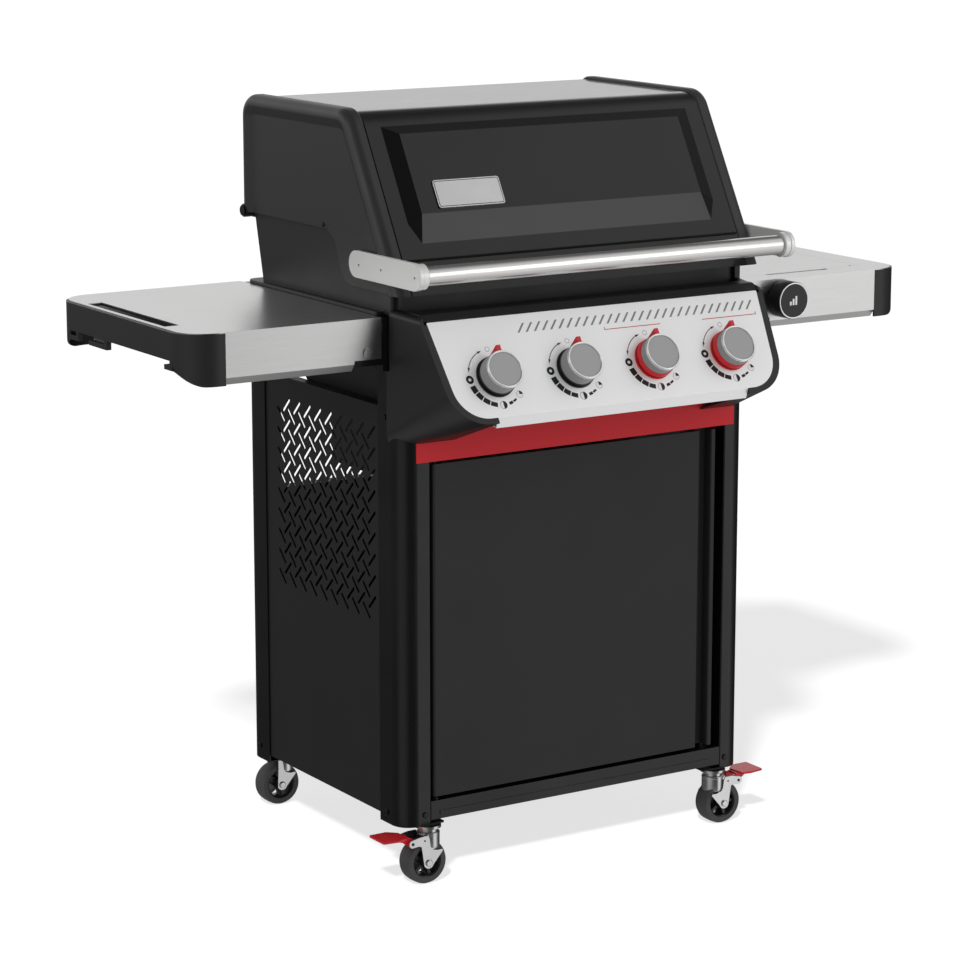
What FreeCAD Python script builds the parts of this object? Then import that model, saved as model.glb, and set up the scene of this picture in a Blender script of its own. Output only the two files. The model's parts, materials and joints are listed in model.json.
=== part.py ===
"""Gas barbecue grill on a four-caster cart, as separate solids, in millimetres.

Frame: +Z up, the front faces -Y, +X to the right as seen from the front.
Origin: on the floor, under the middle of the whole grill.  The parts are laid out
from the middle of the cart and moved by CART_TO_ORIGIN as they are written.
"""
import FreeCAD
import Part
import math
import os

V = FreeCAD.Vector

# ---- driving dimensions --------------------------------------------------
CART_TO_ORIGIN = V(0, 57.5, 0)
CART_HALF_WIDTH = 317.5
CART_HALF_DEPTH = 239.7
CART_BOTTOM = 90.0
POST_TOP = 868.0
POST_CORNER_RADIUS = 29.0
SHEET = 2.5                  # thickness of posts and rails
THIN_SHEET = 1.5             # thickness of panels and skins
SIDE_POST_END = 175.0        # where a post's side leaf ends, from the cart's middle
LEFT_STILE_EDGE = -266.5     # inner edges of the two front posts
RIGHT_STILE_EDGE = 274.4
REAR_STILE_EDGE = 266.5

SIDE_PANEL_BOTTOM, SIDE_PANEL_TOP = 101.0, 730.0
REAR_PANEL_TOP = 530.0
RAIL_BOTTOM, RAIL_TOP = 97.2, 126.6

DOOR_LEFT, DOOR_FACE_RIGHT = -261.0, 227.6
PULL_CHANNEL_RIGHT, DOOR_RIGHT = 249.0, 257.8
DOOR_BOTTOM, DOOR_TOP = 133.0, 646.0
DOOR_DEPTH = 19.0
DOOR_PIVOT = V(-255.0, -231.5, 0.0)
PIN_RADIUS = 3.5
RUNNING_GAP = 0.05           # radial clearance of a pin in its hole

SLOT_PITCH = 32.6            # herringbone slots in the side panels
SLOT_COLUMNS, SLOT_ROWS = 9, 9
SLOT_LENGTH, SLOT_WIDTH = 31.0, 5.0
SLOT_REAR_Y, SLOT_TOP_Z = 127.1, 669.8

TABLE_TOP = 869.0
TABLE_FRONT, TABLE_REAR = -214.0, 220.0
TABLE_INNER, TABLE_CAP_START, TABLE_OUTER = 333.5, 590.4, 652.5
TABLE_TOP_OUTER = 647.0
APRON_BOTTOM, APRON_LIP = 804.0, 792.0
TABLE_PIVOT_X, TABLE_PIVOT_Z = 357.0, 818.0
TABLE_PIN_RADIUS = 5.0
SLOT_OUTER, SLOT_INNER, SLOT_FRONT, SLOT_REAR = -639.0, -615.0, -121.0, 134.0
COVER_LEFT, COVER_RIGHT, COVER_FRONT, COVER_REAR = 352.0, 598.0, -166.0, 176.0

COOKBOX_HALF_WIDTH = 318.0
COOKBOX_FRONT, COOKBOX_REAR_TOP, COOKBOX_REAR_LOW = -215.0, 197.0, 171.0
COOKBOX_TOP, COOKBOX_NECK, COOKBOX_BOTTOM = 978.0, 870.0, 722.0
COOKBOX_WALL = 5.0
GRATE_LEDGE, BAR_LEDGE = 934.0, 886.0
BURNER_Z, BURNER_RADIUS, BURNER_FRONT, BURNER_REAR = 832.0, 11.0, -252.0, 118.0
TRAY_HALF, TRAY_FRONT, TRAY_REAR = 178.0, -120.0, 205.0

LID_HALF_WIDTH = 330.0
LID_JOINT_X = 303.0          # where the end castings meet the shroud
LID_BOTTOM_SIDE, LID_BOTTOM_FRONT = 979.0, 902.0
LID_SLOPE = math.radians(29.65)
LID_FRONT_LOW_Y = -253.0
LID_TOP, SHROUD_TOP = 1163.0, 1158.5
LID_REAR = 221.0
LID_FRONT_BEND, LID_REAR_BEND = 42.0, 34.0
CAP_EDGE_RADIUS = 15.0       # rounding of the end castings' outer edge
RECESS_RIM, RECESS_FLOOR = 17.0, 30.0   # how far in the recess starts, and is full
RECESS_DEPTH = 6.5
LID_INNER_X = 319.5
SHROUD_SHEET = 2.0
HINGE = V(0.0, 211.5, 981.0)
HINGE_PIN_RADIUS = 4.0

HANDLE_Y, HANDLE_Z = -310.5, 939.5
HANDLE_RADIUS, COLLAR_RADIUS = 15.0, 19.0
BRACKET_HALF_HEIGHT, BRACKET_REAR_Y = 20.0, -146.0

PANEL_TOP = V(0.0, -282.9, 867.0)       # upper edge of the sloping control face
PANEL_LENGTH = 156.3
PANEL_TILT = math.radians(31.0)         # slope from the vertical
PANEL_HALF_TOP, PANEL_HALF_LOW = 298.6, 284.0
PANEL_CORNER = 52.0
PANEL_LIP_HALF = 226.0
CAP_OUTER, CAP_WALL, CAP_BACK_Y = 322.0, 2.5, -208.0
KNOB_X = (-210.6, -70.2, 70.2, 210.6)
KNOB_DOWN_SLOPE = 94.0
KNOB_RADIUS, KNOB_HEIGHT, KNOB_GAP = 27.5, 33.0, 5.5
STEM_RADIUS = 4.0
VALVE_FRONT, VALVE_BACK = -20.0, -58.0  # behind the control face
LIP_BOTTOM = V(0.0, -358.0, 716.5)      # lower edge of the face's turned-back lip

DISPLAY_X, DISPLAY_Z = 402.5, 837.3
DISPLAY_RADIUS, DISPLAY_DEPTH = 29.5, 32.0

CASTERS = {                  # swivel centre, and the side to which the wheel trails
    "front_left": (-267.5, -232.0, -1),
    "front_right": (267.5, -232.0, 1),
    "rear_left": (-262.5, 234.0, -1),
    "rear_right": (262.5, 234.0, 1),
}
WHEEL_RADIUS, WHEEL_HALF_WIDTH, HUB_RADIUS = 34.5, 15.5, 24.0
TRAIL = 10.0                 # from the swivel's axis to the wheel's
AXLE_RADIUS, SWIVEL_RADIUS = 4.0, 5.0
RACE_BOTTOM, FORK_TOP, STEM_TOP = 80.0, 79.7, 86.5
FORK_LEG_IN, FORK_LEG_OUT = 16.7, 19.2
BRAKE_PIN = V(38.0, 0.0, 68.5)          # from the swivel centre, on the trailing side
BRAKE_PIN_RADIUS = 2.5


# ---- helpers ---------------------------------------------------------------
def box(x0, x1, y0, y1, z0, z1):
    """A block between two corners, given in any order."""
    low = V(min(x0, x1), min(y0, y1), min(z0, z1))
    return Part.makeBox(abs(x1 - x0), abs(y1 - y0), abs(z1 - z0), low)


def cylinder(radius, start, end):
    """A round bar from one point to another."""
    axis = end - start
    return Part.makeCylinder(radius, axis.Length, start, axis)


def ring(outer, inner, start, end):
    """A round sleeve from one point to another."""
    return cylinder(outer, start, end).cut(cylinder(inner, start, end))


def polygon(points):
    """A closed wire through the points."""
    return Part.makePolygon(list(points) + [points[0]])


def rounded_wire(points, radii):
    """A closed wire through the points, with each corner rounded by its radius."""
    edges = []
    ends = []
    count = len(points)
    for i in range(count):
        here, radius = points[i], radii[i]
        before = (points[i - 1] - here).normalize()
        after = (points[(i + 1) % count] - here).normalize()
        if radius <= 0:
            ends.append((here, None, here))
            continue
        half = before.getAngle(after) / 2
        cut = radius / math.tan(half)
        middle = (before + after).normalize()
        centre = here + middle * (radius / math.sin(half))
        ends.append((here + before * cut, centre - middle * radius, here + after * cut))
    for i in range(count):
        start, mid, end = ends[i]
        if mid is not None:
            edges.append(Part.Arc(start, mid, end).toShape())
        following = ends[(i + 1) % count][0]
        if (following - end).Length > 1e-6:
            edges.append(Part.LineSegment(end, following).toShape())
    return Part.Wire(edges)


def slab(wire, holes, depth):
    """A flat plate: the wire, less the hole wires, pushed along a vector."""
    face = Part.Face(wire)
    if holes:
        face = face.cut(Part.makeCompound([Part.Face(h) for h in holes]))
    return face.extrude(depth)


def profile_yz(points, radii, x0, x1):
    """A bar along X with a side-view outline given as (y, z) points."""
    wire = rounded_wire([V(x0, y, z) for y, z in points], radii)
    return slab(wire, None, V(x1 - x0, 0, 0))


def stadium(centre, along, across, length, width):
    """A round-ended slot outline, its length counted end to end."""
    run = along * ((length - width) / 2)
    side = across * (width / 2)
    a, b, c, d = centre - run + side, centre + run + side, centre + run - side, centre - run - side
    return Part.Wire([
        Part.LineSegment(a, b).toShape(),
        Part.Arc(b, centre + along * (length / 2), c).toShape(),
        Part.LineSegment(c, d).toShape(),
        Part.Arc(d, centre - along * (length / 2), a).toShape(),
    ])


def mirrored(shape):
    """The same shape on the other side of the middle plane X = 0."""
    return shape.mirror(V(0, 0, 0), V(1, 0, 0))


def export(name, *solids):
    """Write one sub-part as parts/NAME.step."""
    shape = solids[0] if len(solids) == 1 else Part.makeCompound(list(solids))
    moved = shape.translated(CART_TO_ORIGIN)
    moved.exportStep("parts/%s.step" % name)


# The control face has its own axes: across (X), up the slope, and out of the face.
OUT = V(0, -math.cos(PANEL_TILT), math.sin(PANEL_TILT))
UP_SLOPE = V(0, math.sin(PANEL_TILT), math.cos(PANEL_TILT))


def on_panel(x, down, out=0.0):
    """A point by its distance down the control face and out of it."""
    return PANEL_TOP + V(x, 0, 0) - UP_SLOPE * down + OUT * out


def slope_y(z, inset=0.0):
    """Where the lid's sloping front is at a height, moved inwards by inset."""
    return LID_FRONT_LOW_Y + (z - LID_BOTTOM_FRONT) * math.tan(LID_SLOPE) + inset / math.cos(LID_SLOPE)


# ---- cart --------------------------------------------------------------------
def make_post(stile_edge, front):
    """One folded corner post on the left side; front is -1 or +1 along Y."""
    side, face = -CART_HALF_WIDTH, front * CART_HALF_DEPTH
    leaf_end, lip = front * SIDE_POST_END, front * (CART_HALF_DEPTH - 25)
    step = front * SHEET
    inner_x = stile_edge - SHEET
    outline = [
        (side, leaf_end), (side, face), (stile_edge, face), (stile_edge, lip),
        (inner_x, lip), (inner_x, face - step), (side + SHEET, face - step), (side + SHEET, leaf_end),
    ]
    radii = [0, POST_CORNER_RADIUS, 2, 0, 0, 0, POST_CORNER_RADIUS - SHEET, 0]
    wire = rounded_wire([V(x, y, CART_BOTTOM + 2) for x, y in outline], radii)
    return slab(wire, None, V(0, 0, POST_TOP - CART_BOTTOM - 2))


def make_corner_posts():
    rear = make_post(-REAR_STILE_EDGE, 1)
    left = make_post(LEFT_STILE_EDGE, -1)
    right = mirrored(make_post(-RIGHT_STILE_EDGE, -1))
    stop_y = -CART_HALF_DEPTH + 25
    door_stop = box(RIGHT_STILE_EDGE - 22, RIGHT_STILE_EDGE + 1, stop_y - THIN_SHEET, stop_y, RAIL_TOP, 650.2)
    right = right.fuse(door_stop).removeSplitter()
    export("corner_posts", left, right, rear, mirrored(rear))


def herringbone_slots(x):
    """Outlines of the slots in a side panel at x: two leanings, in columns and rows."""
    wires = []
    for column in range(SLOT_COLUMNS):
        for row in range(SLOT_ROWS):
            y, z = SLOT_REAR_Y - column * SLOT_PITCH, SLOT_TOP_Z - row * SLOT_PITCH
            half = SLOT_PITCH / 2
            for dy, dz, lean in ((0, 0, 1), (-half - 1, half - 0.5, -1)):
                along = V(0, 1, lean).normalize()
                across = V(0, 1, -lean).normalize()
                wires.append(stadium(V(x, y + dy, z + dz), along, across, SLOT_LENGTH, SLOT_WIDTH))
    return wires


def make_side_panels():
    x = -CART_HALF_WIDTH + SHEET
    leaf = 20.0
    y0, y1 = -SIDE_POST_END - leaf, SIDE_POST_END + leaf
    outline = polygon([V(x, y0, SIDE_PANEL_BOTTOM), V(x, y1, SIDE_PANEL_BOTTOM),
                       V(x, y1, SIDE_PANEL_TOP), V(x, y0, SIDE_PANEL_TOP)])
    panel = slab(outline, herringbone_slots(x), V(THIN_SHEET, 0, 0))
    for z in (SIDE_PANEL_BOTTOM, SIDE_PANEL_TOP - THIN_SHEET):
        panel = panel.fuse(box(x, x + 18, y0, y1, z, z + THIN_SHEET))
    panel = panel.removeSplitter()
    export("side_panel_left", panel)
    export("side_panel_right", mirrored(panel))


def make_front_rail():
    face = -CART_HALF_DEPTH
    x0, x1 = LEFT_STILE_EDGE, RIGHT_STILE_EDGE
    rail = box(x0, x1, face, face + THIN_SHEET, RAIL_BOTTOM, RAIL_TOP)
    rail = rail.fuse(box(x0, x1, face, face + 32, RAIL_TOP - THIN_SHEET, RAIL_TOP))
    rail = rail.fuse(box(x0, x1, face, face + 20, RAIL_BOTTOM, RAIL_BOTTOM + THIN_SHEET))
    rib_z = 106.7
    rib = box(-250.8, 254.2, face - 1.2, face, rib_z - 3.2, rib_z + 3.2)
    export("front_rail", rail.fuse(rib).removeSplitter())


def make_bottom_shelf():
    """The cabinet floor: it lies on the side panels' folds and meets the rails."""
    z0, z1 = SIDE_PANEL_BOTTOM + THIN_SHEET, SIDE_PANEL_BOTTOM + 2 * THIN_SHEET
    wide, long = CART_HALF_WIDTH - SHEET - THIN_SHEET, CART_HALF_DEPTH - THIN_SHEET
    shelf = box(-wide, wide, -SIDE_POST_END, SIDE_POST_END, z0, z1)
    shelf = shelf.fuse(box(-262, 262, -long, long, z0, z1))
    export("bottom_shelf", shelf.removeSplitter())


def make_rear_panel():
    face = CART_HALF_DEPTH
    x = REAR_STILE_EDGE
    panel = box(-x, x, face - THIN_SHEET, face, RAIL_BOTTOM, REAR_PANEL_TOP)
    for z in (RAIL_BOTTOM, REAR_PANEL_TOP - THIN_SHEET):
        panel = panel.fuse(box(-x, x, face - 25, face, z, z + THIN_SHEET))
    brace = box(-x, x, face - 18, face, 820, 860).cut(box(-x, x, face - 16.5, face - 1.5, 821.5, 860))
    export("rear_panel", panel.removeSplitter(), brace)


def make_fascia():
    face = -CART_HALF_DEPTH
    strip = box(-291, 291, face - 1.8, face, 650.7, 704)
    fold = box(LEFT_STILE_EDGE, RIGHT_STILE_EDGE, face, face + 26, 650.7, 652.2)
    export("fascia_strip", strip.fuse(fold).removeSplitter())


def make_cart_screws():
    """Pan-head screws that hold the posts, rails and side panels together."""
    screws = []
    for side in (-1, 1):
        for y, z in ((-194.8, 106.6), (205.4, 111.2), (-194.8, 716), (190, 716)):
            start = V(side * CART_HALF_WIDTH, y, z)
            head = cylinder(4.5, start, start + V(side * 2.2, 0, 0))
            screws.append(head.makeFillet(1.2, [head.Edges[0]]))
    for x, z in ((-277.0, 107.1), (285.0, 107.7)):
        start = V(x, -CART_HALF_DEPTH, z)
        head = cylinder(4.5, start, start + V(0, -2.2, 0))
        screws.append(head.makeFillet(1.2, [head.Edges[0]]))
    export("cart_screws", *screws)


# ---- door ----------------------------------------------------------------------
def make_door():
    """A folded skin with a full-height pull channel along its free edge."""
    f, b = -CART_HALF_DEPTH, -CART_HALF_DEPTH + DOOR_DEPTH
    t = THIN_SHEET
    x0, x1, x2, x3 = DOOR_LEFT, DOOR_FACE_RIGHT, PULL_CHANNEL_RIGHT, DOOR_RIGHT
    outline = [(x0, f), (x1, f), (x1, b - t), (x2, b - t), (x2, f), (x3, f), (x3, b),
               (x3 - t, b), (x3 - t, f + t), (x2 + t, f + t), (x2 + t, b), (x1 - t, b),
               (x1 - t, f + t), (x0 + t, f + t), (x0 + t, b), (x0, b)]
    height = V(0, 0, DOOR_TOP - DOOR_BOTTOM)
    radii = [3, 3, 0, 0, 2, 2] + [0] * 10
    skin = slab(rounded_wire([V(x, y, DOOR_BOTTOM) for x, y in outline], radii), None, height)
    for z in (DOOR_BOTTOM, DOOR_TOP - t):
        skin = skin.fuse(box(x0 + 1, x1 - 0.5, f + 1, b, z, z + t))
        skin = skin.fuse(box(x2 + 0.5, x3 - 0.5, f + 1, b, z, z + t))
    hole = cylinder(PIN_RADIUS + RUNNING_GAP, DOOR_PIVOT, DOOR_PIVOT + V(0, 0, 1000))
    export("door_panel", skin.cut(hole).removeSplitter())
    pins = []
    for z0, z1 in ((RAIL_TOP, DOOR_BOTTOM + 9), (DOOR_TOP - 9, 650.7)):
        pins.append(cylinder(PIN_RADIUS, DOOR_PIVOT + V(0, 0, z0), DOOR_PIVOT + V(0, 0, z1)))
    collar_z = RAIL_TOP + 3.5
    collar = ring(6, PIN_RADIUS, DOOR_PIVOT + V(0, 0, RAIL_TOP), DOOR_PIVOT + V(0, 0, collar_z))
    pins[0] = pins[0].fuse(collar).removeSplitter()
    catch = box(226, 244, -219, -207, 640, 650.7)
    export("door_pins_and_catch", pins[0], pins[1], catch)


# ---- cookbox ---------------------------------------------------------------------
def rectangle(half_x, y0, y1, z):
    return polygon([V(-half_x, y0, z), V(half_x, y0, z), V(half_x, y1, z), V(-half_x, y1, z)])


def cookbox_stack(inset):
    """The cookbox outline pulled in by inset: a tall box above a tapering hopper."""
    w = COOKBOX_HALF_WIDTH - inset
    front = COOKBOX_FRONT + inset
    top = rectangle(w, front, COOKBOX_REAR_TOP - inset, COOKBOX_TOP)
    neck = rectangle(w, front, COOKBOX_REAR_LOW - inset, COOKBOX_NECK)
    between_posts = rectangle(w - 4, front, COOKBOX_REAR_LOW - inset, COOKBOX_NECK)
    low = rectangle(w - 25.5, front + 40, COOKBOX_REAR_LOW - inset - 95, COOKBOX_BOTTOM)
    return Part.makeLoft([top, neck], True, True).fuse(Part.makeLoft([between_posts, low], True, True))


def make_cookbox():
    wall = COOKBOX_WALL
    rim_corners = [V(-331, -195, 868), V(331, -195, 868), V(331, 206, 868), V(-331, 206, 868)]
    rim = slab(rounded_wire(rim_corners, [4, 4, 18, 18]), None, V(0, 0, 6))
    box_shape = cookbox_stack(0).fuse(rim)
    box_shape = box_shape.cut(cookbox_stack(wall))
    inner = COOKBOX_HALF_WIDTH - wall
    box_shape = box_shape.cut(box(-inner + 30, inner - 30, -150, 50, 700, COOKBOX_BOTTOM + 8))
    for z in (GRATE_LEDGE, BAR_LEDGE):
        box_shape = box_shape.fuse(box(-inner, inner, COOKBOX_FRONT + 1, COOKBOX_FRONT + 14, z - 5, z))
        box_shape = box_shape.fuse(box(-inner, inner, 158, 172, z - 5, z))
    box_shape = box_shape.cut(box(-400, 400, -230, -73, 948, 990))
    box_shape = box_shape.cut(box(-300, 300, 150, 230, 958, 990))
    for side in (-1, 1):
        x0, x1 = side * (COOKBOX_HALF_WIDTH - 9), side * COOKBOX_HALF_WIDTH
        lug = cylinder(10, HINGE + V(x0, 0, 0), HINGE + V(x1, 0, 0)).fuse(box(x0, x1, 188, 211, 971, HINGE.z))
        post = box(side * 303, side * 309, -222, -210, 878.3, 900)
        box_shape = box_shape.fuse(lug).fuse(post)
    hole = cylinder(HINGE_PIN_RADIUS + RUNNING_GAP, HINGE - V(400, 0, 0), HINGE + V(400, 0, 0))
    box_shape = box_shape.cut(hole)
    for x in KNOB_X:
        box_shape = box_shape.cut(cylinder(12.0, V(x, -230, BURNER_Z), V(x, -150, BURNER_Z)))
    export("cookbox", box_shape.removeSplitter())


def make_burner(x):
    """A closed-ended burner tube with a row of flame ports along its top."""
    front, rear = V(x, BURNER_FRONT, BURNER_Z), V(x, BURNER_REAR, BURNER_Z)
    tube = cylinder(BURNER_RADIUS, front, rear)
    tube = tube.cut(cylinder(BURNER_RADIUS - 1.5, front, rear - V(0, 3, 0)))
    starts = [V(x, -150 + 20 * i, BURNER_Z) for i in range(12)]
    ports = [cylinder(2.0, start, start + V(0, 0, 20)) for start in starts]
    return tube.cut(Part.makeCompound(ports))


def make_burners():
    sear = KNOB_X[2]
    export("main_burners", *[make_burner(x) for x in KNOB_X if x != sear])
    export("sear_burner", make_burner(sear))
    electrodes = []
    for x in KNOB_X:
        low = V(x + 16, -140, BURNER_Z - 6)
        rod = cylinder(1.2, low, low + V(0, 0, 26))
        clamp = box(x + BURNER_RADIUS, x + 20, -144, -136, BURNER_Z - 3, BURNER_Z + 3)
        insulator = cylinder(3.4, low, low + V(0, 0, 16))
        electrodes.append(insulator.fuse(rod).fuse(clamp).removeSplitter())
    export("ignition_electrodes", *electrodes)


def make_heat_bars():
    """Roof-shaped bars over and between the burners."""
    bars = []
    for i in range(7):
        x = -270 + 90 * i
        outline = [(x - 32, BAR_LEDGE), (x, BAR_LEDGE + 28), (x + 32, BAR_LEDGE),
                   (x + 29.5, BAR_LEDGE), (x, BAR_LEDGE + 25.8), (x - 29.5, BAR_LEDGE)]
        bars.append(slab(polygon([V(a, -210, b) for a, b in outline]), None, V(0, 376, 0)))
    export("heat_bars", *bars)


def make_grates():
    """Two cast grates that meet in the middle, each a frame with long bars."""
    grates = []
    y0, y1 = -209.0, 172.0
    for x0, x1 in ((-312.5, -1.0), (1.0, 312.5)):
        frame = polygon([V(x0, y0, GRATE_LEDGE), V(x1, y0, GRATE_LEDGE),
                         V(x1, y1, GRATE_LEDGE), V(x0, y1, GRATE_LEDGE)])
        pitch = (x1 - x0 - 10) / 16
        holes = []
        for i in range(16):
            a = x0 + 10 + pitch * i
            for low, high in ((y0 + 12, -22), (-14, y1 - 12)):
                holes.append(polygon([V(a, low, GRATE_LEDGE), V(a + pitch - 8, low, GRATE_LEDGE),
                                      V(a + pitch - 8, high, GRATE_LEDGE), V(a, high, GRATE_LEDGE)]))
        grates.append(slab(frame, holes, V(0, 0, 11)))
    export("cooking_grates", *grates)


def make_warming_rack():
    """A slotted rack on two end legs that stand on the cookbox sides."""
    z, half, y0, y1 = 1026.0, 317.5, 62.0, 166.0
    outline = polygon([V(-half, y0, z), V(half, y0, z), V(half, y1, z), V(-half, y1, z)])
    holes = []
    pitch = 18.0
    for i in range(35):
        x = -half + 9 + pitch * i
        holes.append(polygon([V(x, y0 + 5, z), V(x + pitch - 5, y0 + 5, z),
                              V(x + pitch - 5, y1 - 5, z), V(x, y1 - 5, z)]))
    rack = slab(outline, holes, V(0, 0, 4))
    for side in (-1, 1):
        rack = rack.fuse(box(side * (half - 3.3), side * half, y0, y1, COOKBOX_TOP, z))
    export("warming_rack", rack.removeSplitter())


def make_grease_parts():
    """A funnel under the cookbox, with rails that hold a sliding drip pan."""
    top = rectangle(292, -176, 69, COOKBOX_BOTTOM)
    low = rectangle(90, -60, 20, 650)
    top_in = rectangle(290, -174, 67, COOKBOX_BOTTOM)
    low_in = rectangle(88, -58, 18, 650)
    funnel = Part.makeLoft([top, low], True, True).cut(Part.makeLoft([top_in, low_in], True, True))
    for side in (-1, 1):
        x0, x1 = side * TRAY_HALF, side * (TRAY_HALF - 2)
        wall = box(x0, x1, TRAY_FRONT, TRAY_REAR, 566, 700)
        foot = box(x0, side * (TRAY_HALF - 14), TRAY_FRONT, TRAY_REAR, 566, 568)
        funnel = funnel.fuse(wall).fuse(foot)
    export("grease_funnel", funnel.removeSplitter())
    half = TRAY_HALF - 3.0
    z0, z1 = 568.3, 606.0
    pan = box(-half, half, TRAY_FRONT + 4, TRAY_REAR, z0, z1)
    pan = pan.cut(box(-half + 1.5, half - 1.5, TRAY_FRONT + 5.5, TRAY_REAR - 1.5, z0 + 1.5, z1))
    pull = box(-50, 50, TRAY_REAR - 1, TRAY_REAR + 16, z1 - 8, z1 - 6)
    export("drip_pan", pan.fuse(pull).removeSplitter())


# ---- gas train -----------------------------------------------------------------
def make_gas_train():
    valves = []
    for x in KNOB_X:
        front, back = on_panel(x, KNOB_DOWN_SLOPE, VALVE_FRONT), on_panel(x, KNOB_DOWN_SLOPE, VALVE_BACK)
        valve = cylinder(13, front, back)
        bonnet = cylinder(9, front + OUT * 6, front)
        riser_foot = on_panel(x, KNOB_DOWN_SLOPE, -47)
        riser_top = V(x, riser_foot.y, BURNER_Z)
        riser = cylinder(5, riser_foot, riser_top + V(0, 0, 5))
        nozzle = cylinder(4.5, riser_top, V(x, BURNER_FRONT + 6, BURNER_Z))
        valve = valve.fuse(bonnet).fuse(riser).fuse(nozzle)
        bore = cylinder(STEM_RADIUS + RUNNING_GAP, front + OUT * 6, front - OUT * 14)
        valves.append(valve.cut(bore).removeSplitter())
    export("gas_valves", *valves)
    centre = on_panel(0, KNOB_DOWN_SLOPE, VALVE_BACK - 9)
    pipe = cylinder(9, centre - V(235, 0, 0), centre + V(250, 0, 0))
    backs = [on_panel(x, KNOB_DOWN_SLOPE, VALVE_BACK) for x in KNOB_X]
    seats = [cylinder(8, back, back - OUT * 6) for back in backs]
    inlet = centre + V(241, 0, 0)
    fitting = cylinder(7, inlet, inlet - V(0, 0, 50))
    fitting = fitting.fuse(cylinder(10, inlet - V(0, 0, 20), inlet - V(0, 0, 30)))
    for piece in seats + [fitting]:
        pipe = pipe.fuse(piece)
    export("gas_manifold", pipe.removeSplitter())


# ---- control panel ----------------------------------------------------------------
def panel_outline(grow=0.0):
    """The outline of the bright face plate, on the sloping face."""
    top, low, length = PANEL_HALF_TOP + grow, PANEL_HALF_LOW + grow, PANEL_LENGTH + grow
    corners = [on_panel(-top, -grow), on_panel(top, -grow), on_panel(low, length), on_panel(-low, length)]
    return rounded_wire(corners, [2, 2, PANEL_CORNER, PANEL_CORNER])


def make_control_face():
    plate = slab(panel_outline(), None, OUT * -THIN_SHEET)
    edge = on_panel(0, PANEL_LENGTH)
    inner_edge = edge - OUT * THIN_SHEET + UP_SLOPE * 1.0
    back = V(0, 16.0, 3.0)
    points = [edge, LIP_BOTTOM, LIP_BOTTOM + back, LIP_BOTTOM + back + V(0, 0, 1.5),
              LIP_BOTTOM + V(0, 1.5, 1.7), inner_edge]
    lip = slab(polygon([p - V(PANEL_LIP_HALF, 0, 0) for p in points]), None, V(2 * PANEL_LIP_HALF, 0, 0))
    plate = plate.fuse(lip)
    for x in KNOB_X:
        hole = cylinder(11, on_panel(x, KNOB_DOWN_SLOPE, -5), on_panel(x, KNOB_DOWN_SLOPE, 5))
        plate = plate.cut(hole)
    export("control_face", plate.removeSplitter())
    rings = [ring(32, 12, on_panel(x, KNOB_DOWN_SLOPE), on_panel(x, KNOB_DOWN_SLOPE, 2)) for x in KNOB_X]
    export("knob_bezels", *rings)


def control_housing(inset):
    """The control panel's outer form: a sloping front that flares back to the posts."""
    top, low = PANEL_HALF_TOP + 12 - inset, PANEL_HALF_LOW + 12 - inset
    upper, lower = -9 + inset, PANEL_LENGTH + 9 - inset
    front = [on_panel(-top, upper, -inset), on_panel(top, upper, -inset),
             on_panel(low, lower, -inset), on_panel(-low, lower, -inset)]
    side, back_y = CAP_OUTER - inset, CAP_BACK_Y + inset
    z0, z1 = 668 + inset, 878 - inset
    back = [V(-side, back_y, z1), V(side, back_y, z1), V(side, back_y, z0), V(-side, back_y, z0)]
    front_wire = rounded_wire(front, [12, 12, PANEL_CORNER + 10, PANEL_CORNER + 10])
    back_wire = rounded_wire(back, [8, 8, 26, 26])
    return Part.makeLoft([front_wire, back_wire], True, True)


def make_control_caps():
    """The moulded ends of the control panel, wrapped round the front posts."""
    shell = control_housing(0).cut(control_housing(CAP_WALL))
    shell = shell.cut(box(-PANEL_LIP_HALF, 500, -400, -100, 600, 900))
    post_room = rounded_wire([V(-317.8, -100, 640), V(-317.8, -242.3, 640), V(0, -242.3, 640), V(0, -100, 640)],
                             [0, POST_CORNER_RADIUS + 2, 0, 0])
    shell = shell.cut(slab(post_room, None, V(0, 0, 232)))
    shell = shell.cut(slab(panel_outline(), None, OUT * -THIN_SHEET))
    shell = shell.cut(box(-303, 0, -290, -200, 864, 900))
    shell = shell.cut(box(-330, 0, COOKBOX_FRONT - 0.5, -200, 866, 900))
    shell = shell.cut(box(-330, -317.3, TABLE_FRONT - 0.3, -200, 787.5, 868))
    solid = max(shell.Solids, key=lambda piece: piece.Volume)
    export("control_cap_left", solid)
    export("control_cap_right", mirrored(solid))


def make_control_hood():
    """The rounded strip along the top of the control panel."""
    outer = [(-283.2, 868.4), (-268, 877), (-238, 877), (-238, 868.2), (-240, 868.2), (-240, 875),
             (-268.5, 875), (-281.5, 868)]
    hood = profile_yz(outer, [0, 6, 2, 0, 0, 0, 4, 0], -302.8, 302.8)
    export("control_hood", hood)


def make_knobs():
    for number, x in enumerate(KNOB_X, 1):
        base = on_panel(x, KNOB_DOWN_SLOPE, KNOB_GAP)
        top = on_panel(x, KNOB_DOWN_SLOPE, KNOB_HEIGHT)
        skirt = cylinder(31, base, base + OUT * 7)
        grip = cylinder(KNOB_RADIUS, base, top)
        fin = box(-3.5, 3.5, 26, 32.5, 0, 17)
        fin.Placement = FreeCAD.Placement(base, FreeCAD.Rotation(V(1, 0, 0), UP_SLOPE, OUT))
        knob = skirt.fuse(grip).fuse(fin)
        bore = cylinder(STEM_RADIUS + RUNNING_GAP, base, base + OUT * 14)
        knob = knob.cut(bore)
        export("knob_%d" % number, knob.removeSplitter())
        stem = cylinder(STEM_RADIUS, on_panel(x, KNOB_DOWN_SLOPE, VALVE_FRONT - 8), base + OUT * 13)
        export("valve_stem_%d" % number, stem)


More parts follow.
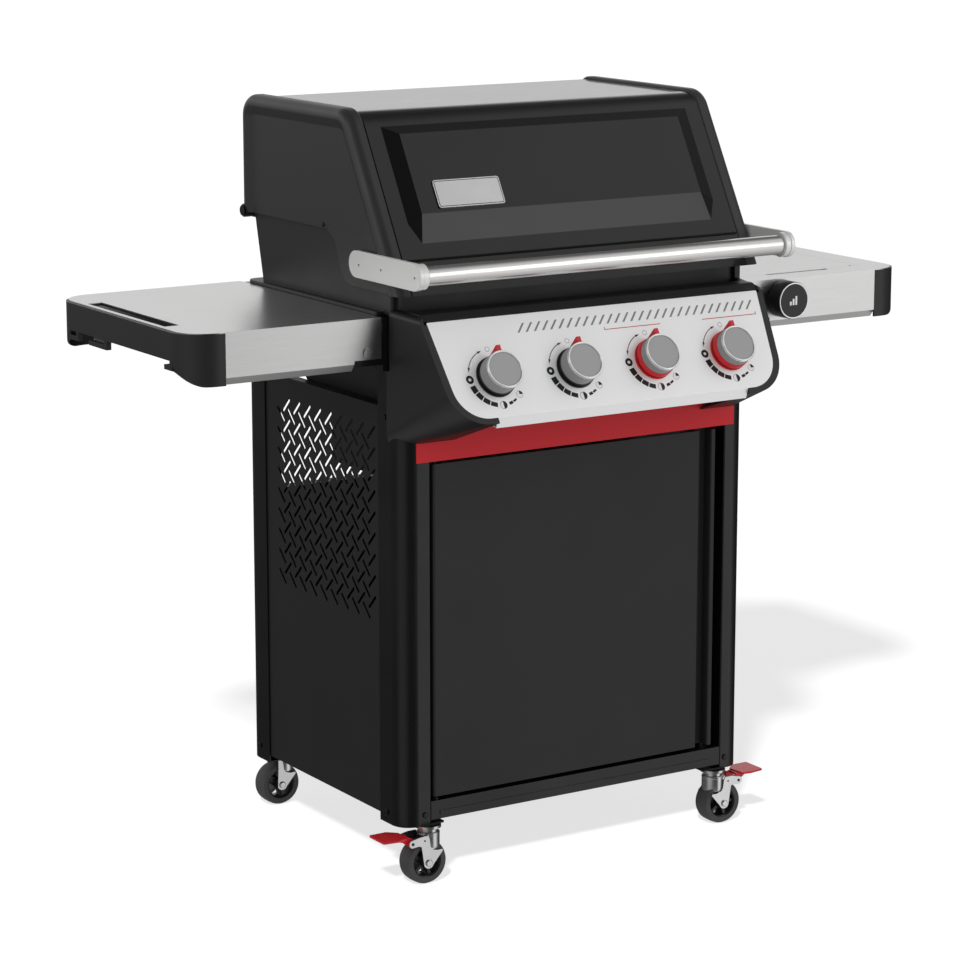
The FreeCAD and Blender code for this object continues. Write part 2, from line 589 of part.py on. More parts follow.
# ---- side tables -----------------------------------------------------------------
def table_sheet():
    """The bent steel top of the left table: a flat top, two aprons and their lips."""
    t = THIN_SHEET
    x_in, x_cap, x_out = -TABLE_INNER, -TABLE_CAP_START, -TABLE_TOP_OUTER
    top = rounded_wire([V(x_in, TABLE_FRONT, TABLE_TOP), V(x_out, TABLE_FRONT, TABLE_TOP),
                        V(x_out, TABLE_REAR, TABLE_TOP), V(x_in, TABLE_REAR, TABLE_TOP)], [0, 48, 48, 0])
    sheet = slab(top, None, V(0, 0, -t))
    for y, inward in ((TABLE_FRONT, 1), (TABLE_REAR, -1)):
        upper = box(x_cap, x_in, y, y + inward * t, APRON_BOTTOM + 4, TABLE_TOP)
        lower = box(x_cap, -379, y, y + inward * t, APRON_BOTTOM - 1, APRON_BOTTOM + 5)
        lip_points = [(y, APRON_BOTTOM), (y + inward * 9, APRON_LIP), (y + inward * (9 + t), APRON_LIP),
                      (y + inward * t, APRON_BOTTOM)]
        lip = slab(polygon([V(x_cap, a, b) for a, b in lip_points]), None, V(-379 - x_cap, 0, 0))
        sheet = sheet.fuse(upper).fuse(lower).fuse(lip)
    return sheet


def table_cap():
    """The moulded end of the left table, wrapped round its outer end under the top."""
    x_start, x_out = -TABLE_CAP_START, -TABLE_OUTER
    z0, z1 = APRON_LIP, TABLE_TOP - THIN_SHEET
    grow = 3.0
    outline = rounded_wire([V(x_start, TABLE_FRONT - 0.5, z0), V(x_out, TABLE_FRONT - 0.5, z0),
                            V(x_out, TABLE_REAR + 0.5, z0), V(x_start, TABLE_REAR + 0.5, z0)], [0, 52, 52, 0])
    body = slab(outline, None, V(0, 0, z1 - z0))
    inner = rounded_wire([V(x_start, TABLE_FRONT + grow, z0), V(x_out + grow, TABLE_FRONT + grow, z0),
                          V(x_out + grow, TABLE_REAR - grow, z0), V(x_start, TABLE_REAR - grow, z0)],
                         [0, 48, 48, 0])
    body = body.cut(slab(inner, None, V(0, 0, z1 - z0 - 3)))
    body = body.cut(box(x_out - 5, x_start - 45, -165, 168, z0 - 5, 826))
    below = rounded_wire([V(x_start + 1, -250, z0), V(x_start + 1, -250, TABLE_TOP),
                          V(x_out, -250, TABLE_TOP), V(x_out, -250, z0)], [0, 0, 0, 33])
    return body.common(slab(below, None, V(0, 500, 0)))


def make_left_table():
    slot = box(SLOT_OUTER, SLOT_INNER, SLOT_FRONT, SLOT_REAR, 780, 880)
    pivot = V(-TABLE_PIVOT_X, 0, TABLE_PIVOT_Z)
    hole = cylinder(TABLE_PIN_RADIUS + RUNNING_GAP, pivot - V(0, 300, 0), pivot + V(0, 300, 0))
    export("left_table_top", table_sheet().cut(slot).cut(hole).removeSplitter())
    cap = table_cap().cut(slot)
    for y0, y1 in ((-168, -143), (44, 104), (140, 171)):
        bar = box(-TABLE_OUTER, -TABLE_OUTER + 8, y0, y1, 812, 819)
        stem = box(-TABLE_OUTER, -TABLE_OUTER + 8, y0, y0 + 8, 812, 828)
        cap = cap.fuse(bar.fuse(stem))
    export("left_table_cap", cap.removeSplitter())


def make_right_table():
    x0, x1, y0, y1 = COVER_LEFT, COVER_RIGHT, COVER_FRONT, COVER_REAR
    opening = box(x0, x1, y0, y1, 860, 880)
    sheet = mirrored(table_sheet()).cut(opening)
    finger = box(405, 527, y0 - 8, y0 + 1, 860, 880)
    sheet = sheet.cut(finger).cut(box(642, 660, 61, 190, 860, 880))
    shelf = box(x0 - 8, x1 + 8, y0 - 12, y1 + 8, 862, TABLE_TOP - THIN_SHEET - 1)
    shelf = shelf.cut(box(x0 + 10, x1 - 10, y0 + 10, y1 - 10, 850, 880))
    rim = box(x0 - 8, x1 + 8, y0 - 12, y1 + 8, 864, TABLE_TOP - THIN_SHEET)
    rim = rim.cut(box(x0, x1, y0 - 8, y1, 850, 880))
    cap = mirrored(table_cap()).cut(box(x0 - 8, x1 + 8, y0 - 12, y1 + 8, 862, 870))
    ledge = shelf.fuse(rim).removeSplitter()
    export("right_table_top", sheet.removeSplitter(), ledge)
    export("right_table_cap", cap.removeSplitter())
    gap = 0.5
    cover = box(x0 + gap, x1 - gap, y0 + gap, y1 - gap, 866.8, TABLE_TOP)
    hole = cylinder(2.5, V(584, -157, 860), V(584, -157, 880))
    export("drop_in_cover", cover.cut(hole))


def make_table_brackets():
    """Black brackets on the posts, with the left table's pivot pins."""
    brackets = []
    top = TABLE_TOP - THIN_SHEET
    for side in (-1, 1):
        for front in (-1, 1):
            y = TABLE_FRONT if front < 0 else TABLE_REAR
            foot = box(side * CART_HALF_WIDTH, side * 329.5, front * 180, y - front * 3, 788, top)
            arm_y = y - front * 3
            arm = box(side * 317.5, side * 374, arm_y, arm_y - front * 3, 798, 846)
            if side > 0:
                arm = box(side * 317.5, side * 420, arm_y, arm_y - front * 3, 806, top)
            brackets.append(foot.fuse(arm).removeSplitter())
    pins = []
    for y, front in ((TABLE_FRONT, -1), (TABLE_REAR, 1)):
        centre = V(-TABLE_PIVOT_X, 0, TABLE_PIVOT_Z)
        pin = cylinder(TABLE_PIN_RADIUS, centre + V(0, y - front * 6, 0), centre + V(0, y + front * 0.3, 0))
        head = cylinder(7.5, centre + V(0, y + front * 0.3, 0), centre + V(0, y + front * 2.3, 0))
        pins.append(pin.fuse(head).removeSplitter())
    brackets = [b.cut(Part.makeCompound(pins)) for b in brackets]
    export("table_brackets", *(brackets + pins))


def make_display():
    back, front = V(DISPLAY_X, TABLE_FRONT, DISPLAY_Z), V(DISPLAY_X, TABLE_FRONT - DISPLAY_DEPTH, DISPLAY_Z)
    housing = cylinder(DISPLAY_RADIUS, back, front)
    housing = housing.cut(cylinder(DISPLAY_RADIUS - 3, front + V(0, 2.5, 0), front - V(0, 1, 0)))
    lens = cylinder(DISPLAY_RADIUS - 3.1, front + V(0, 2.5, 0), front + V(0, 0.5, 0))
    export("display_housing", housing)
    export("display_lens", lens)


# ---- lid ---------------------------------------------------------------------------
def lid_outline(inset, top):
    """Side view of the lid's shell: front slope, top and rear, open underneath."""
    low = 860.0
    rear, under_top = LID_REAR - inset, top - inset
    points = [(rear, low), (rear, under_top), (slope_y(under_top, inset), under_top), (slope_y(low, inset), low)]
    return points, [0, max(LID_REAR_BEND - inset, 4), max(LID_FRONT_BEND - inset, 4), 0]


def lid_side_trim():
    """What lies below the lid's side edge: level at the back, dropping to the front."""
    z, f = LID_BOTTOM_SIDE, LID_BOTTOM_FRONT
    outline = [(300, z), (-40, z), (-64, 960), (-76, 930), (-92, 906), (-108, f),
               (-400, f), (-400, 700), (300, 700)]
    return profile_yz(outline, [0, 14, 10, 10, 8, 0, 0, 0, 0], -400, 400)


def outline_wire(inset, x):
    """The lid's side outline as a wire in the plane at x."""
    points, radii = lid_outline(inset, LID_TOP)
    return rounded_wire([V(x, y, z) for y, z in points], radii)


def edges_at(shape, x):
    """The edges of the lid's side outline that lie in the plane at x, but not its foot."""
    return [e for e in shape.Edges if all(abs(v.X - x) < 1e-6 for v in e.Vertexes) and e.BoundBox.ZMax > 870]


def make_lid_caps():
    points, radii = lid_outline(0, LID_TOP)
    cap = profile_yz(points, radii, -LID_HALF_WIDTH, -LID_JOINT_X)
    cap = cap.makeFillet(CAP_EDGE_RADIUS, edges_at(cap, -LID_HALF_WIDTH))
    cap = cap.makeFillet(3, edges_at(cap, -LID_JOINT_X))
    recess = Part.makeLoft([outline_wire(RECESS_RIM, -LID_HALF_WIDTH - 0.01),
                            outline_wire(RECESS_FLOOR, -LID_HALF_WIDTH + RECESS_DEPTH)], True, True)
    points, radii = lid_outline(2.3, SHROUD_TOP)
    cap = cap.fuse(profile_yz(points, radii, -LID_JOINT_X - 5, -LID_JOINT_X + 14))
    points, radii = lid_outline(5.5, SHROUD_TOP)
    points[0], points[3] = (points[0][0], 800), (slope_y(800, 5.5), 800)
    inner_x = -LID_INNER_X
    cap = cap.cut(profile_yz(points, radii, inner_x, -200))
    cap = cap.cut(recess).cut(lid_side_trim())
    cap = cap.cut(cylinder(11.5, HINGE + V(inner_x, 0, 0), HINGE + V(inner_x + 18, 0, 0)))
    cap = cap.fuse(cylinder(10.5, HINGE - V(LID_HALF_WIDTH, 0, 0), HINGE + V(inner_x, 0, 0)))
    cap = cap.cut(cylinder(HINGE_PIN_RADIUS, HINGE - V(400, 0, 0), HINGE))
    cap = max(cap.removeSplitter().Solids, key=lambda s: s.Volume)
    export("lid_cap_left", cap)
    export("lid_cap_right", mirrored(cap))


def front_point(x, z, out):
    """A point on the lid's sloping front, moved out from it."""
    return V(x, slope_y(z) - out * math.cos(LID_SLOPE), z + out * math.sin(LID_SLOPE))


def raised_panel(drop):
    """The panel that stands out of the shroud's front and fades into it at its foot."""
    proud = 7.0 - drop
    half_foot, half_side, half_face = 262, 277, 253
    z_top, z_face_top, z_face_low, z_side_low, z_foot = 1136, 1122, 1010, 1000, 972
    a, b = front_point(-half_side, z_top, -drop), front_point(half_side, z_top, -drop)
    c, d = front_point(half_side, z_side_low, -drop), front_point(-half_side, z_side_low, -drop)
    e, f = front_point(-half_face, z_face_top, proud), front_point(half_face, z_face_top, proud)
    g, h = front_point(half_face, z_face_low, proud), front_point(-half_face, z_face_low, proud)
    i, j = front_point(half_foot, z_foot, -drop), front_point(-half_foot, z_foot, -drop)
    faces = [(a, d, j, i, c, b), (a, b, f, e), (a, e, h, d), (b, c, g, f),
             (e, f, g, h), (h, g, i, j), (d, h, j), (c, i, g)]
    shell = Part.makeShell([Part.Face(polygon(points)) for points in faces])
    return Part.makeSolid(shell)


def make_shroud():
    x = LID_JOINT_X - 0.3
    points, radii = lid_outline(0, SHROUD_TOP)
    outer = profile_yz(points, radii, -x, x)
    points, radii = lid_outline(SHROUD_SHEET, SHROUD_TOP)
    points[0], points[3] = (points[0][0], 800), (slope_y(800, SHROUD_SHEET), 800)
    inner = profile_yz(points, radii, -x, x)
    shroud = outer.fuse(raised_panel(0)).cut(inner.fuse(raised_panel(SHROUD_SHEET)))
    rear_cut = box(-400, 400, -100, 300, 700, 984)
    shroud = shroud.cut(rear_cut).cut(box(-400, 400, -400, 300, 700, LID_BOTTOM_FRONT))
    step = box(-x + 2, x - 2, slope_y(951) - 3.2, slope_y(951) + 1, 949, 951.5)
    shroud = shroud.fuse(step).removeSplitter()
    export("lid_shroud", max(shroud.Solids, key=lambda s: s.Volume))


def make_badge():
    """A plain blank plate on the lid's front."""
    x0, x1, z0, z1 = -222.0, -106.0, 1015.5, 1054.0
    corners = [front_point(x0, z0, 0), front_point(x1, z0, 0), front_point(x1, z1, 0), front_point(x0, z1, 0)]
    normal = V(0, -math.cos(LID_SLOPE), math.sin(LID_SLOPE))
    plate = slab(rounded_wire(corners, [4] * 4), None, normal * 9.5)
    points, radii = lid_outline(0, SHROUD_TOP)
    keep = profile_yz(points, radii, -280, 280).fuse(raised_panel(0))
    export("badge_plate", max(plate.cut(keep).Solids, key=lambda s: s.Volume))


def make_handle():
    centre = V(0, HANDLE_Y, HANDLE_Z)
    plate_in, plate_out, collar_in = LID_HALF_WIDTH, LID_HALF_WIDTH + 6.5, 320.5
    bar = ring(HANDLE_RADIUS, HANDLE_RADIUS - 1.5, centre - V(collar_in, 0, 0), centre + V(collar_in, 0, 0))
    export("handle_tube", bar)
    parts = []
    length = BRACKET_REAR_Y - HANDLE_Y + 2 * BRACKET_HALF_HEIGHT
    middle_y = (BRACKET_REAR_Y + HANDLE_Y) / 2
    for side in (-1, 1):
        wire = stadium(V(side * plate_in, middle_y, HANDLE_Z), V(0, 1, 0), V(0, 0, 1),
                       length, 2 * BRACKET_HALF_HEIGHT)
        plate = slab(wire, None, V(side * (plate_out - plate_in), 0, 0))
        start, end = centre + V(side * collar_in, 0, 0), centre + V(side * plate_in, 0, 0)
        collar = cylinder(COLLAR_RADIUS, start, end)
        bracket = plate.fuse(collar)
        for y in (-155.6, -219.6, -314.0):
            start = V(side * (plate_out - 0.5), y, HANDLE_Z)
            bracket = bracket.fuse(cylinder(2.2, start, start + V(side * 1.2, 0, 0)))
        parts.append(bracket.removeSplitter())
    export("handle_brackets", *parts)


def make_lid_hinge_pins():
    pins = []
    for side in (-1, 1):
        start, end = V(side * 312, 0, 0), V(side * LID_HALF_WIDTH, 0, 0)
        pin = cylinder(HINGE_PIN_RADIUS, HINGE + start, HINGE + end)
        head = cylinder(8, HINGE + end, HINGE + end + V(side * 3, 0, 0))
        pins.append(pin.fuse(head).removeSplitter())
    export("lid_hinge_pins", *pins)


# ---- casters -------------------------------------------------------------------------
def make_caster_plates():
    """A foot plate closes each post's end and carries the caster's raceway."""
    plates = []
    for x, y, side in CASTERS.values():
        front = math.copysign(1, y)
        edge, face = side * CART_HALF_WIDTH, front * CART_HALF_DEPTH
        inner_x, inner_y = side * 242, front * SIDE_POST_END
        corners = [V(edge, inner_y, CART_BOTTOM), V(edge, face, CART_BOTTOM),
                   V(inner_x, face, CART_BOTTOM), V(inner_x, inner_y, CART_BOTTOM)]
        plate = slab(rounded_wire(corners, [0, POST_CORNER_RADIUS, 4, 0]), None, V(0, 0, 2))
        race = cylinder(15, V(x, y, RACE_BOTTOM), V(x, y, 87))
        race = race.fuse(cylinder(20, V(x, y, 86), V(x, y, CART_BOTTOM)))
        bore = cylinder(SWIVEL_RADIUS + RUNNING_GAP, V(x, y, 70), V(x, y, STEM_TOP + 0.5))
        plates.append(plate.fuse(race).cut(bore).removeSplitter())
    export("caster_plates", *plates)


def make_caster(name, x, y, side):
    """A pressed fork with its axle, and a wheel of a tyre round a hub."""
    axle = V(x + side * TRAIL, y, WHEEL_RADIUS)
    fork = cylinder(18, V(x, y, 75), V(x, y, FORK_TOP))
    fork = fork.fuse(cylinder(SWIVEL_RADIUS, V(x, y, FORK_TOP), V(x, y, STEM_TOP)))
    for near in (-1, 1):
        y0, y1 = y + near * FORK_LEG_IN, y + near * FORK_LEG_OUT
        leg_points = [V(x - 17, y0, 78), V(x + 17, y0, 78),
                      V(axle.x + 9, y0, axle.z), V(axle.x - 9, y0, axle.z)]
        leg = slab(polygon(leg_points), None, V(0, y1 - y0, 0))
        leg = leg.fuse(cylinder(9, V(axle.x, y0, axle.z), V(axle.x, y1, axle.z)))
        leg = leg.fuse(box(x - 15, x + 15, y + near * 8, y1, 75, 78))
        leg = leg.fuse(cylinder(5, V(axle.x, y1, axle.z), V(axle.x, y1 + near * 2.5, axle.z)))
        fork = fork.fuse(leg)
    fork = fork.fuse(cylinder(AXLE_RADIUS, axle - V(0, 18, 0), axle + V(0, 18, 0)))
    if name.startswith("front"):
        fork = fork.fuse(brake_cheeks(x, y, side))
    export("caster_fork_" + name, fork.removeSplitter())
    half = WHEEL_HALF_WIDTH
    tyre = ring(WHEEL_RADIUS, HUB_RADIUS, axle - V(0, half, 0), axle + V(0, half, 0))
    rims = [e for e in tyre.Edges if abs(e.Length - 2 * math.pi * WHEEL_RADIUS) < 1]
    tyre = tyre.makeFillet(5, rims)
    hub = ring(HUB_RADIUS, AXLE_RADIUS + RUNNING_GAP, axle - V(0, half - 1, 0), axle + V(0, half - 1, 0))
    export("caster_wheel_" + name, tyre, hub)


def brake_cheeks(x, y, side):
    """Two ears on the fork's crown, with the pin on which the brake pedal turns."""
    ears = []
    for near in (-1, 1):
        outline = [(12, 79.5), (12, 72), (25, 68.5), (36, 61), (45, 61), (45, 75), (30, 79.5)]
        points = [V(x + side * a, y + near * 12, z) for a, z in outline]
        ears.append(slab(polygon(points), None, V(0, near * 2, 0)))
    middle = V(x + side * BRAKE_PIN.x, y, BRAKE_PIN.z)
    return ears[0].fuse(ears[1]).fuse(cylinder(BRAKE_PIN_RADIUS, middle - V(0, 14, 0), middle + V(0, 14, 0)))


def make_brake_lever(name, x, y, side):
    """A foot pedal that turns on the pin between the fork's ears."""
    arm_outline = [(31, 73), (31, 65), (36, 63.5), (42, 63.5), (52, 72), (52, 77), (42, 77)]
    arm = slab(polygon([V(x + side * a, y - 11.5, z) for a, z in arm_outline]), None, V(0, 23, 0))
    tread = [(46, -17), (62, -20), (88, -16), (88, 28), (46, 28)]
    pedal_outline = [V(x + side * a, y + b, 76.5) for a, b in tread]
    pedal = slab(rounded_wire(pedal_outline, [2, 2, 3, 3, 2]), None, V(0, 0, 2.8))
    middle = V(x + side * BRAKE_PIN.x, y, BRAKE_PIN.z)
    hole = cylinder(BRAKE_PIN_RADIUS + RUNNING_GAP, middle - V(0, 20, 0), middle + V(0, 20, 0))
    export("brake_lever_" + name, arm.fuse(pedal).cut(hole).removeSplitter())


def main():
    os.makedirs("parts", exist_ok=True)
    make_corner_posts()
    make_side_panels()
    make_front_rail()
    make_bottom_shelf()
    make_rear_panel()
    make_fascia()
    make_cart_screws()
    make_door()
    make_cookbox()
    make_burners()
    make_heat_bars()
    make_grates()
    make_warming_rack()
    make_grease_parts()
    make_gas_train()
    make_control_face()
    make_control_caps()
    make_control_hood()
    make_knobs()
    make_left_table()
    make_right_table()
    make_table_brackets()
    make_display()
    make_lid_caps()
    make_shroud()
    make_badge()
    make_handle()
    make_lid_hinge_pins()
    make_caster_plates()
    for name, (x, y, side) in CASTERS.items():
        make_caster(name, x, y, side)
        if name.startswith("front"):
            make_brake_lever(name, x, y, side)


main()
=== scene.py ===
"""Looks of a gas barbecue grill: materials, small mesh pieces, camera and studio light.

Everything is in metres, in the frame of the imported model: +Z up, the front faces -Y.
"""
import json
import math

import bpy
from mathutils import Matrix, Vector


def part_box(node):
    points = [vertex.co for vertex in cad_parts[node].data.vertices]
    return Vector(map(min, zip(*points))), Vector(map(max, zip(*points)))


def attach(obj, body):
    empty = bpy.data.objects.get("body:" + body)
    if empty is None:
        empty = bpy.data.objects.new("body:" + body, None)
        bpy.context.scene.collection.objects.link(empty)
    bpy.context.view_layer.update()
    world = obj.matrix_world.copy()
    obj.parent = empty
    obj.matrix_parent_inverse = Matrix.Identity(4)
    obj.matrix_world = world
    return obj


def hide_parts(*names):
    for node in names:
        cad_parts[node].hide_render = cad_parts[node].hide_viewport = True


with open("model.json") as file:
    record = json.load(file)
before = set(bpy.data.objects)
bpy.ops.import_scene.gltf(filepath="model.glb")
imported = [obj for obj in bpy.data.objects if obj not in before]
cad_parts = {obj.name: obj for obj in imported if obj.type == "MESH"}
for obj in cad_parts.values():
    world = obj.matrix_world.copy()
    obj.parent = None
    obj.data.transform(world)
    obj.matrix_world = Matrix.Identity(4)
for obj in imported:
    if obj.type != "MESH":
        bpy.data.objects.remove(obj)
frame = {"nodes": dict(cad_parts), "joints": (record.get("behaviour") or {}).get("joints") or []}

NODES = frame["nodes"]
JOINTS = {joint["name"]: joint for joint in frame["joints"]}
X, Y, Z = Vector((1, 0, 0)), Vector((0, 1, 0)), Vector((0, 0, 1))
MM = 0.001
ON_AXIS = 0.001          # a radius in millimetres next to nothing, which closes a turned profile


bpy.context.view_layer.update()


# ---- materials -------------------------------------------------------------------
class Surface:
    """A principled material with procedural detail in the object's own coordinates."""

    def __init__(self, name, colour, roughness, metallic=0.0, specular=0.5, coat=0.0):
        self.material = bpy.data.materials.new(name)
        self.material.use_nodes = True
        self.tree = self.material.node_tree
        self.shader = self.tree.nodes["Principled BSDF"]
        self.colour = (*colour, 1.0)
        self.roughness = roughness
        inputs = self.shader.inputs
        inputs["Base Color"].default_value = self.colour
        inputs["Roughness"].default_value = roughness
        inputs["Metallic"].default_value = metallic
        inputs["Specular IOR Level"].default_value = specular
        inputs["Coat Weight"].default_value = coat
        inputs["Coat Roughness"].default_value = 0.08
        self.bump = None

    def noise(self, scale, detail=3.0, stretch=(1, 1, 1)):
        coordinates = self.tree.nodes.new("ShaderNodeTexCoord")
        mapping = self.tree.nodes.new("ShaderNodeMapping")
        mapping.inputs["Scale"].default_value = stretch
        noise = self.tree.nodes.new("ShaderNodeTexNoise")
        noise.inputs["Scale"].default_value = scale
        noise.inputs["Detail"].default_value = detail
        self.tree.links.new(coordinates.outputs["Object"], mapping.inputs["Vector"])
        self.tree.links.new(mapping.outputs["Vector"], noise.inputs["Vector"])
        return noise.outputs["Fac"]

    def spread(self, fac, low, high):
        """The noise turned into a value between low and high."""
        remap = self.tree.nodes.new("ShaderNodeMapRange")
        remap.inputs["From Min"].default_value = 0.3
        remap.inputs["From Max"].default_value = 0.7
        remap.inputs["To Min"].default_value = low
        remap.inputs["To Max"].default_value = high
        self.tree.links.new(fac, remap.inputs["Value"])
        return remap.outputs["Result"]

    def uneven_gloss(self, scale, amount, stretch=(1, 1, 1)):
        fac = self.noise(scale, 4.0, stretch)
        value = self.spread(fac, self.roughness - amount, self.roughness + amount)
        self.tree.links.new(value, self.shader.inputs["Roughness"])
        return self

    def uneven_colour(self, scale, amount, stretch=(1, 1, 1)):
        fac = self.noise(scale, 3.0, stretch)
        value = self.spread(fac, 1 - amount, 1 + amount)
        scaled = self.tree.nodes.new("ShaderNodeVectorMath")
        scaled.operation = "SCALE"
        scaled.inputs[0].default_value = self.colour[:3]
        self.tree.links.new(value, scaled.inputs["Scale"])
        self.tree.links.new(scaled.outputs["Vector"], self.shader.inputs["Base Color"])
        return self

    def relief(self, scale, strength, depth, stretch=(1, 1, 1)):
        bump = self.tree.nodes.new("ShaderNodeBump")
        bump.inputs["Strength"].default_value = strength
        bump.inputs["Distance"].default_value = depth
        self.tree.links.new(self.noise(scale, 3.0, stretch), bump.inputs["Height"])
        if self.bump:
            self.tree.links.new(self.bump, bump.inputs["Normal"])
        self.bump = bump.outputs["Normal"]
        self.tree.links.new(self.bump, self.shader.inputs["Normal"])
        return self

    def soft_edges(self, radius):
        """Rounds sharp edges in the shading, as paint and polishing do."""
        edge = self.tree.nodes.new("ShaderNodeBevel")
        edge.samples = 4
        edge.inputs["Radius"].default_value = radius
        self.bump = edge.outputs["Normal"]
        self.tree.links.new(self.bump, self.shader.inputs["Normal"])
        return self


def powder_coat(name, colour, roughness, specular=0.2):
    coat = Surface(name, colour, roughness, specular=specular).soft_edges(0.7 * MM)
    return coat.relief(900, 0.10, 0.2 * MM).uneven_gloss(9, 0.04).material


def enamel():
    glass = Surface("enamel black", (0.006, 0.006, 0.006), 0.3, specular=0.2, coat=1.0)
    glass.shader.inputs["Coat IOR"].default_value = 1.3
    return glass.soft_edges(0.8 * MM).relief(70, 0.05, 0.3 * MM).uneven_gloss(7, 0.03).material


def cast_black(name, colour, roughness):
    cast = Surface(name, colour, roughness, specular=0.5).soft_edges(1.2 * MM)
    return cast.relief(620, 0.10, 0.2 * MM).uneven_gloss(12, 0.04).material


def cast_silver():
    """A smooth zinc casting with a faint satin grain."""
    cast = Surface("satin zinc", (0.80, 0.80, 0.79), 0.36, metallic=0.4).soft_edges(1.6 * MM)
    return cast.relief(2200, 0.05, 0.05 * MM).uneven_gloss(25, 0.02).material


def iron():
    """Enamelled cast iron, rougher than the other castings."""
    grate = Surface("porcelain iron", (0.02, 0.02, 0.021), 0.5).soft_edges(1.0 * MM)
    return grate.relief(420, 0.3, 0.4 * MM).uneven_gloss(20, 0.08).material


def brushed(name, colour, roughness, along):
    """Steel with fine lines that run along one axis."""
    stretch = [1.0, 1.0, 1.0]
    stretch[along] = 0.012
    steel = Surface(name, colour, roughness, metallic=1.0).soft_edges(0.5 * MM)
    steel.uneven_colour(1500, 0.02, stretch).uneven_gloss(900, 0.03, stretch)
    return steel.relief(1800, 0.05, 0.04 * MM, stretch).material


def plated(name, colour, roughness):
    metal = Surface(name, colour, roughness, metallic=1.0).soft_edges(0.5 * MM)
    return metal.uneven_gloss(45, 0.02).uneven_colour(30, 0.015).material


def moulded(name, colour, roughness):
    plastic = Surface(name, colour, roughness, specular=0.45).soft_edges(0.8 * MM)
    return plastic.relief(1400, 0.12, 0.12 * MM).uneven_gloss(14, 0.04).material


def silver_paint():
    """The light panel behind the knobs, with a fine metallic sparkle."""
    face = Surface("silver face", (0.95, 0.95, 0.955), 0.42, metallic=0.4, specular=0.5)
    face.soft_edges(0.6 * MM).uneven_colour(2600, 0.035)
    return face.relief(2400, 0.05, 0.05 * MM).material


def printed(name, colour):
    return Surface(name, colour, 0.5, specular=0.4).uneven_gloss(300, 0.05).material


def tyre_rubber():
    """Grey rubber with a little dust in its colour."""
    rubber = Surface("grey rubber", (0.055, 0.055, 0.056), 0.62, specular=0.4)
    return rubber.relief(500, 0.15, 0.2 * MM).uneven_colour(40, 0.12).material


def smoked_glass():
    window = Surface("smoked window", (0.008, 0.008, 0.009), 0.14, specular=0.4)
    return window.uneven_gloss(30, 0.03).material


ENAMEL = enamel()
LID_CAST = cast_black("lid casting", (0.026, 0.026, 0.026), 0.42)
# The cookbox casting is a darker black than the lid casting. The extra darkness is painted shade under the
# lid's edge, so that the seam between them shows. The control hood uses the same darkened black.
SHADED_BOX_CAST = cast_black("shaded cookbox casting", (0.014, 0.014, 0.014), 0.46)
ZINC = cast_silver()
FRAME_PAINT = powder_coat("frame paint", (0.006, 0.006, 0.006), 0.3, 0.42)
PANEL_PAINT = powder_coat("matt panel paint", (0.017, 0.017, 0.017), 0.5)
DOOR_PAINT = powder_coat("door paint", (0.022, 0.022, 0.022), 0.38)
RED_PAINT = powder_coat("fascia red", (0.56, 0.020, 0.028), 0.42)
SILVER = silver_paint()
FIELD = plated("badge field", (0.80, 0.80, 0.80), 0.4)
TABLE_STEEL = brushed("table steel", (0.67, 0.67, 0.665), 0.30, 0)
BAR_STEEL = brushed("handle steel", (0.64, 0.63, 0.62), 0.24, 0)
BURNER_STEEL = brushed("burner steel", (0.50, 0.49, 0.47), 0.34, 1)
BRIGHT = plated("bright plating", (0.66, 0.66, 0.665), 0.27)
DARK_STEEL = plated("black screws", (0.045, 0.045, 0.047), 0.4)
BARE_ALUMINIUM = plated("bare aluminium", (0.58, 0.58, 0.585), 0.42)
BRASS = plated("brass", (0.62, 0.44, 0.17), 0.33)
IRON = iron()
BLACK_PLASTIC = moulded("black plastic", (0.017, 0.017, 0.018), 0.42)
HUB_PLASTIC = moulded("hub plastic", (0.012, 0.012, 0.013), 0.3)
RED_PLASTIC = moulded("red plastic", (0.58, 0.012, 0.018), 0.36)
KNOB_GREY = moulded("knob grip", (0.27, 0.27, 0.273), 0.34)
KNOB_FACE = moulded("knob face", (0.35, 0.35, 0.352), 0.5)
KNOB_RIM = plated("bright rim", (0.95, 0.95, 0.95), 0.3)
CERAMIC = moulded("ceramic", (0.78, 0.77, 0.72), 0.25)
RUBBER = tyre_rubber()
WINDOW = smoked_glass()
BLACK_PRINT = printed("black print", (0.012, 0.012, 0.012))
GREY_PRINT = printed("grey print", (0.22, 0.22, 0.22))
RED_PRINT = printed("red print", (0.52, 0.015, 0.02))
WHITE_PRINT = printed("white print", (0.85, 0.85, 0.85))

